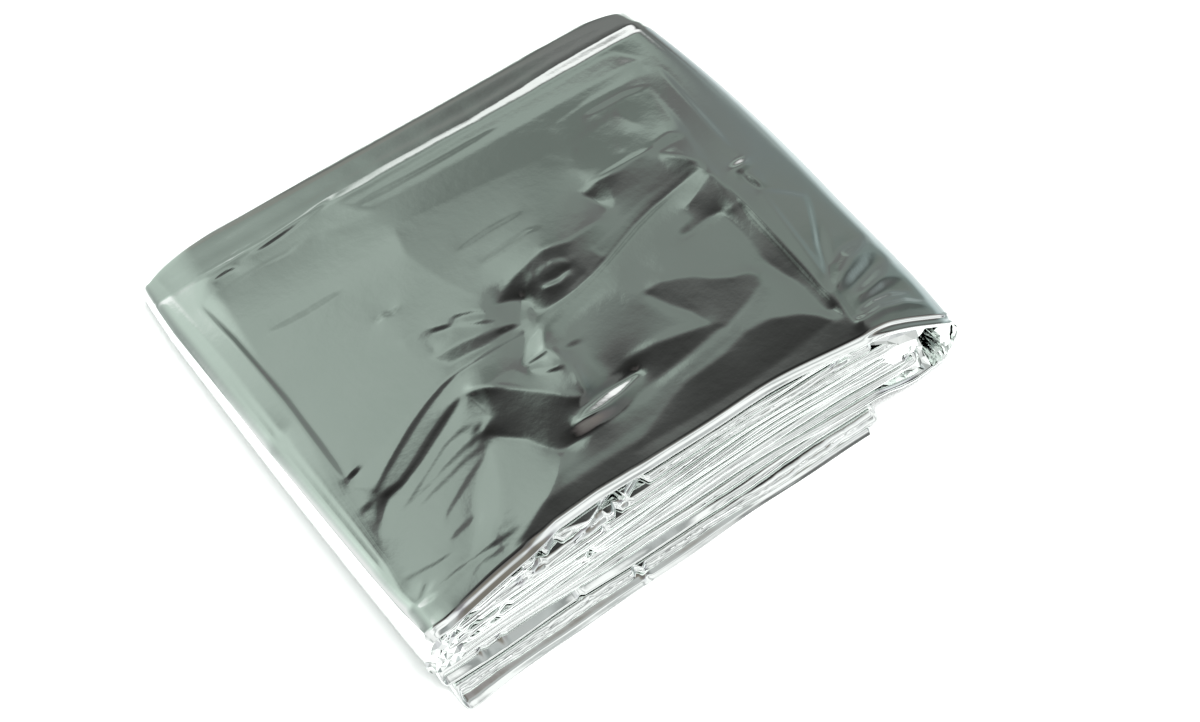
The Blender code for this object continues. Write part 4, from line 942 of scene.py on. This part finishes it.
    (0.360, ((0, (1.100, 1.100, 1.100)), (8, (0.957, 1.030, 1.056)), (20, (0.760, 0.853, 0.866)), (30, (0.546, 0.635, 0.643)), (40, (0.395, 0.484, 0.483)), (52, (0.362, 0.435, 0.434)), (62, (0.254, 0.278, 0.280)), (70, (0.181, 0.167, 0.151)), (75, (0.281, 0.256, 0.224)), (79, (0.330, 0.306, 0.276)), (84, (0.574, 0.585, 0.585)), (89, (0.618, 0.643, 0.643)), (94, (0.320, 0.336, 0.334)), (99, (1.220, 1.220, 1.220)), (106, (1.220, 1.220, 1.220)), (113, (0.580, 0.600, 0.600)), (120, (1.220, 1.220, 1.220)), (134, (1.220, 1.220, 1.220)), (142, (0.660, 0.670, 0.690)), (150, (1.220, 1.220, 1.220)), (164, (0.420, 0.440, 0.430)), (176, (1.300, 1.300, 1.300)))),
    (0.600, ((0, (1.050, 1.120, 1.130)), (8, (0.750, 0.820, 0.830)), (20, (0.380, 0.430, 0.430)), (34, (0.500, 0.570, 0.570)), (52, (0.340, 0.380, 0.380)), (70, (0.281, 0.269, 0.280)), (80, (0.330, 0.306, 0.334)), (86, (0.800, 0.810, 0.830)), (92, (1.080, 1.080, 1.100)), (99, (1.220, 1.220, 1.220)), (106, (1.220, 1.220, 1.220)), (113, (0.580, 0.600, 0.600)), (120, (1.220, 1.220, 1.220)), (134, (1.220, 1.220, 1.220)), (142, (0.660, 0.670, 0.690)), (150, (1.220, 1.220, 1.220)), (164, (0.420, 0.440, 0.430)), (176, (1.300, 1.300, 1.300)))),
    (0.950, ((0, (1.150, 1.200, 1.200)), (10, (0.620, 0.680, 0.680)), (24, (0.330, 0.370, 0.370)), (42, (0.480, 0.540, 0.540)), (60, (0.360, 0.400, 0.400)), (84, (0.900, 0.960, 0.960)), (94, (1.000, 1.000, 1.040)), (99, (0.660, 0.660, 0.720)), (107, (0.400, 0.400, 0.440)), (116, (0.160, 0.160, 0.180)), (128, (0.050, 0.050, 0.050)), (166, (0.050, 0.050, 0.050)), (172, (0.450, 0.480, 0.480)), (179, (1.220, 1.220, 1.220)))),
)
# END SURROUNDINGS


def make_world():
    world = bpy.data.worlds.new("studio")
    bpy.context.scene.world = world
    world.use_nodes = True
    tree = world.node_tree
    tree.nodes.clear()

    def node(kind, **values):
        made = tree.nodes.new(kind)
        for name, value in values.items():
            setattr(made, name, value)
        return made

    direction = node("ShaderNodeTexCoord").outputs["Generated"]

    def dot(vector):
        made = node("ShaderNodeVectorMath", operation="DOT_PRODUCT")
        tree.links.new(direction, made.inputs[0])
        made.inputs[1].default_value = vector
        return made.outputs["Value"]

    away, aside, up = dot((AWAY[0], AWAY[1], 0.0)), dot((ASIDE[0], ASIDE[1], 0.0)), dot((0.0, 0.0, 1.0))
    angle = node("ShaderNodeMath", operation="ARCTAN2")
    tree.links.new(up, angle.inputs[0])
    tree.links.new(away, angle.inputs[1])
    share = node("ShaderNodeMath", operation="DIVIDE", use_clamp=True)
    tree.links.new(angle.outputs[0], share.inputs[0])
    share.inputs[1].default_value = math.pi
    colour, before = None, None
    for across, rows in BANDS:
        ramp = node("ShaderNodeValToRGB")
        ramp.color_ramp.interpolation = "LINEAR"
        elements = ramp.color_ramp.elements
        while len(elements) > 1:
            elements.remove(elements[-1])
        elements[0].position, elements[0].color = rows[0][0] / 180.0, (*rows[0][1], 1.0)
        for degrees, rgb in rows[1:]:
            elements.new(degrees / 180.0).color = (*rgb, 1.0)
        tree.links.new(share.outputs[0], ramp.inputs["Fac"])
        if colour is None:
            colour, before = ramp.outputs["Color"], across
            continue
        place = node("ShaderNodeMapRange", interpolation_type="SMOOTHSTEP")
        tree.links.new(aside, place.inputs["Value"])
        place.inputs["From Min"].default_value = before
        place.inputs["From Max"].default_value = across
        mix = node("ShaderNodeMix", data_type="RGBA")
        tree.links.new(place.outputs["Result"], mix.inputs["Factor"])
        tree.links.new(colour, mix.inputs[6])
        tree.links.new(ramp.outputs["Color"], mix.inputs[7])
        colour, before = mix.outputs[2], across
    background = node("ShaderNodeBackground")
    tree.links.new(colour, background.inputs["Color"])
    background.inputs["Strength"].default_value = 1.0
    output = node("ShaderNodeOutputWorld")
    tree.links.new(background.outputs["Background"], output.inputs["Surface"])


make_world()


def soft_light(name, place, towards, size, power):
    lamp = bpy.data.lights.new(name, "AREA")
    lamp.shape, lamp.size, lamp.energy = "DISK", size, power
    made = bpy.data.objects.new(name, lamp)
    made.location = place
    made.rotation_mode = "QUATERNION"
    made.rotation_quaternion = (Vector(towards) - Vector(place)).to_track_quat("-Z", "Y")
    made.visible_glossy = False  # it lights the floor; the film mirrors the surroundings
    bpy.context.scene.collection.objects.link(made)
    return made


soft_light("softbox_over", (0.15, -0.25, 1.5), (0.0, 0.0, 0.0), 1.6, 40.0)

camera_data = bpy.data.cameras.new("camera")
camera_data.lens, camera_data.sensor_width = 90.0, 36.0
camera_data.clip_start, camera_data.clip_end = 0.01, 100.0
camera = bpy.data.objects.new("camera", camera_data)
elevation, azimuth = math.radians(57.5), math.radians(-35.6)
back = Vector((math.sin(azimuth) * math.cos(elevation), -math.cos(azimuth) * math.cos(elevation), math.sin(elevation)))
camera.location = Vector((0.0048, -0.0117, 0.0)) + back * 0.620
camera.rotation_mode = "QUATERNION"
camera.rotation_quaternion = (-back).to_track_quat("-Z", "Y")
bpy.context.scene.collection.objects.link(camera)
bpy.context.scene.camera = camera
bpy.context.scene.view_settings.view_transform = "Standard"
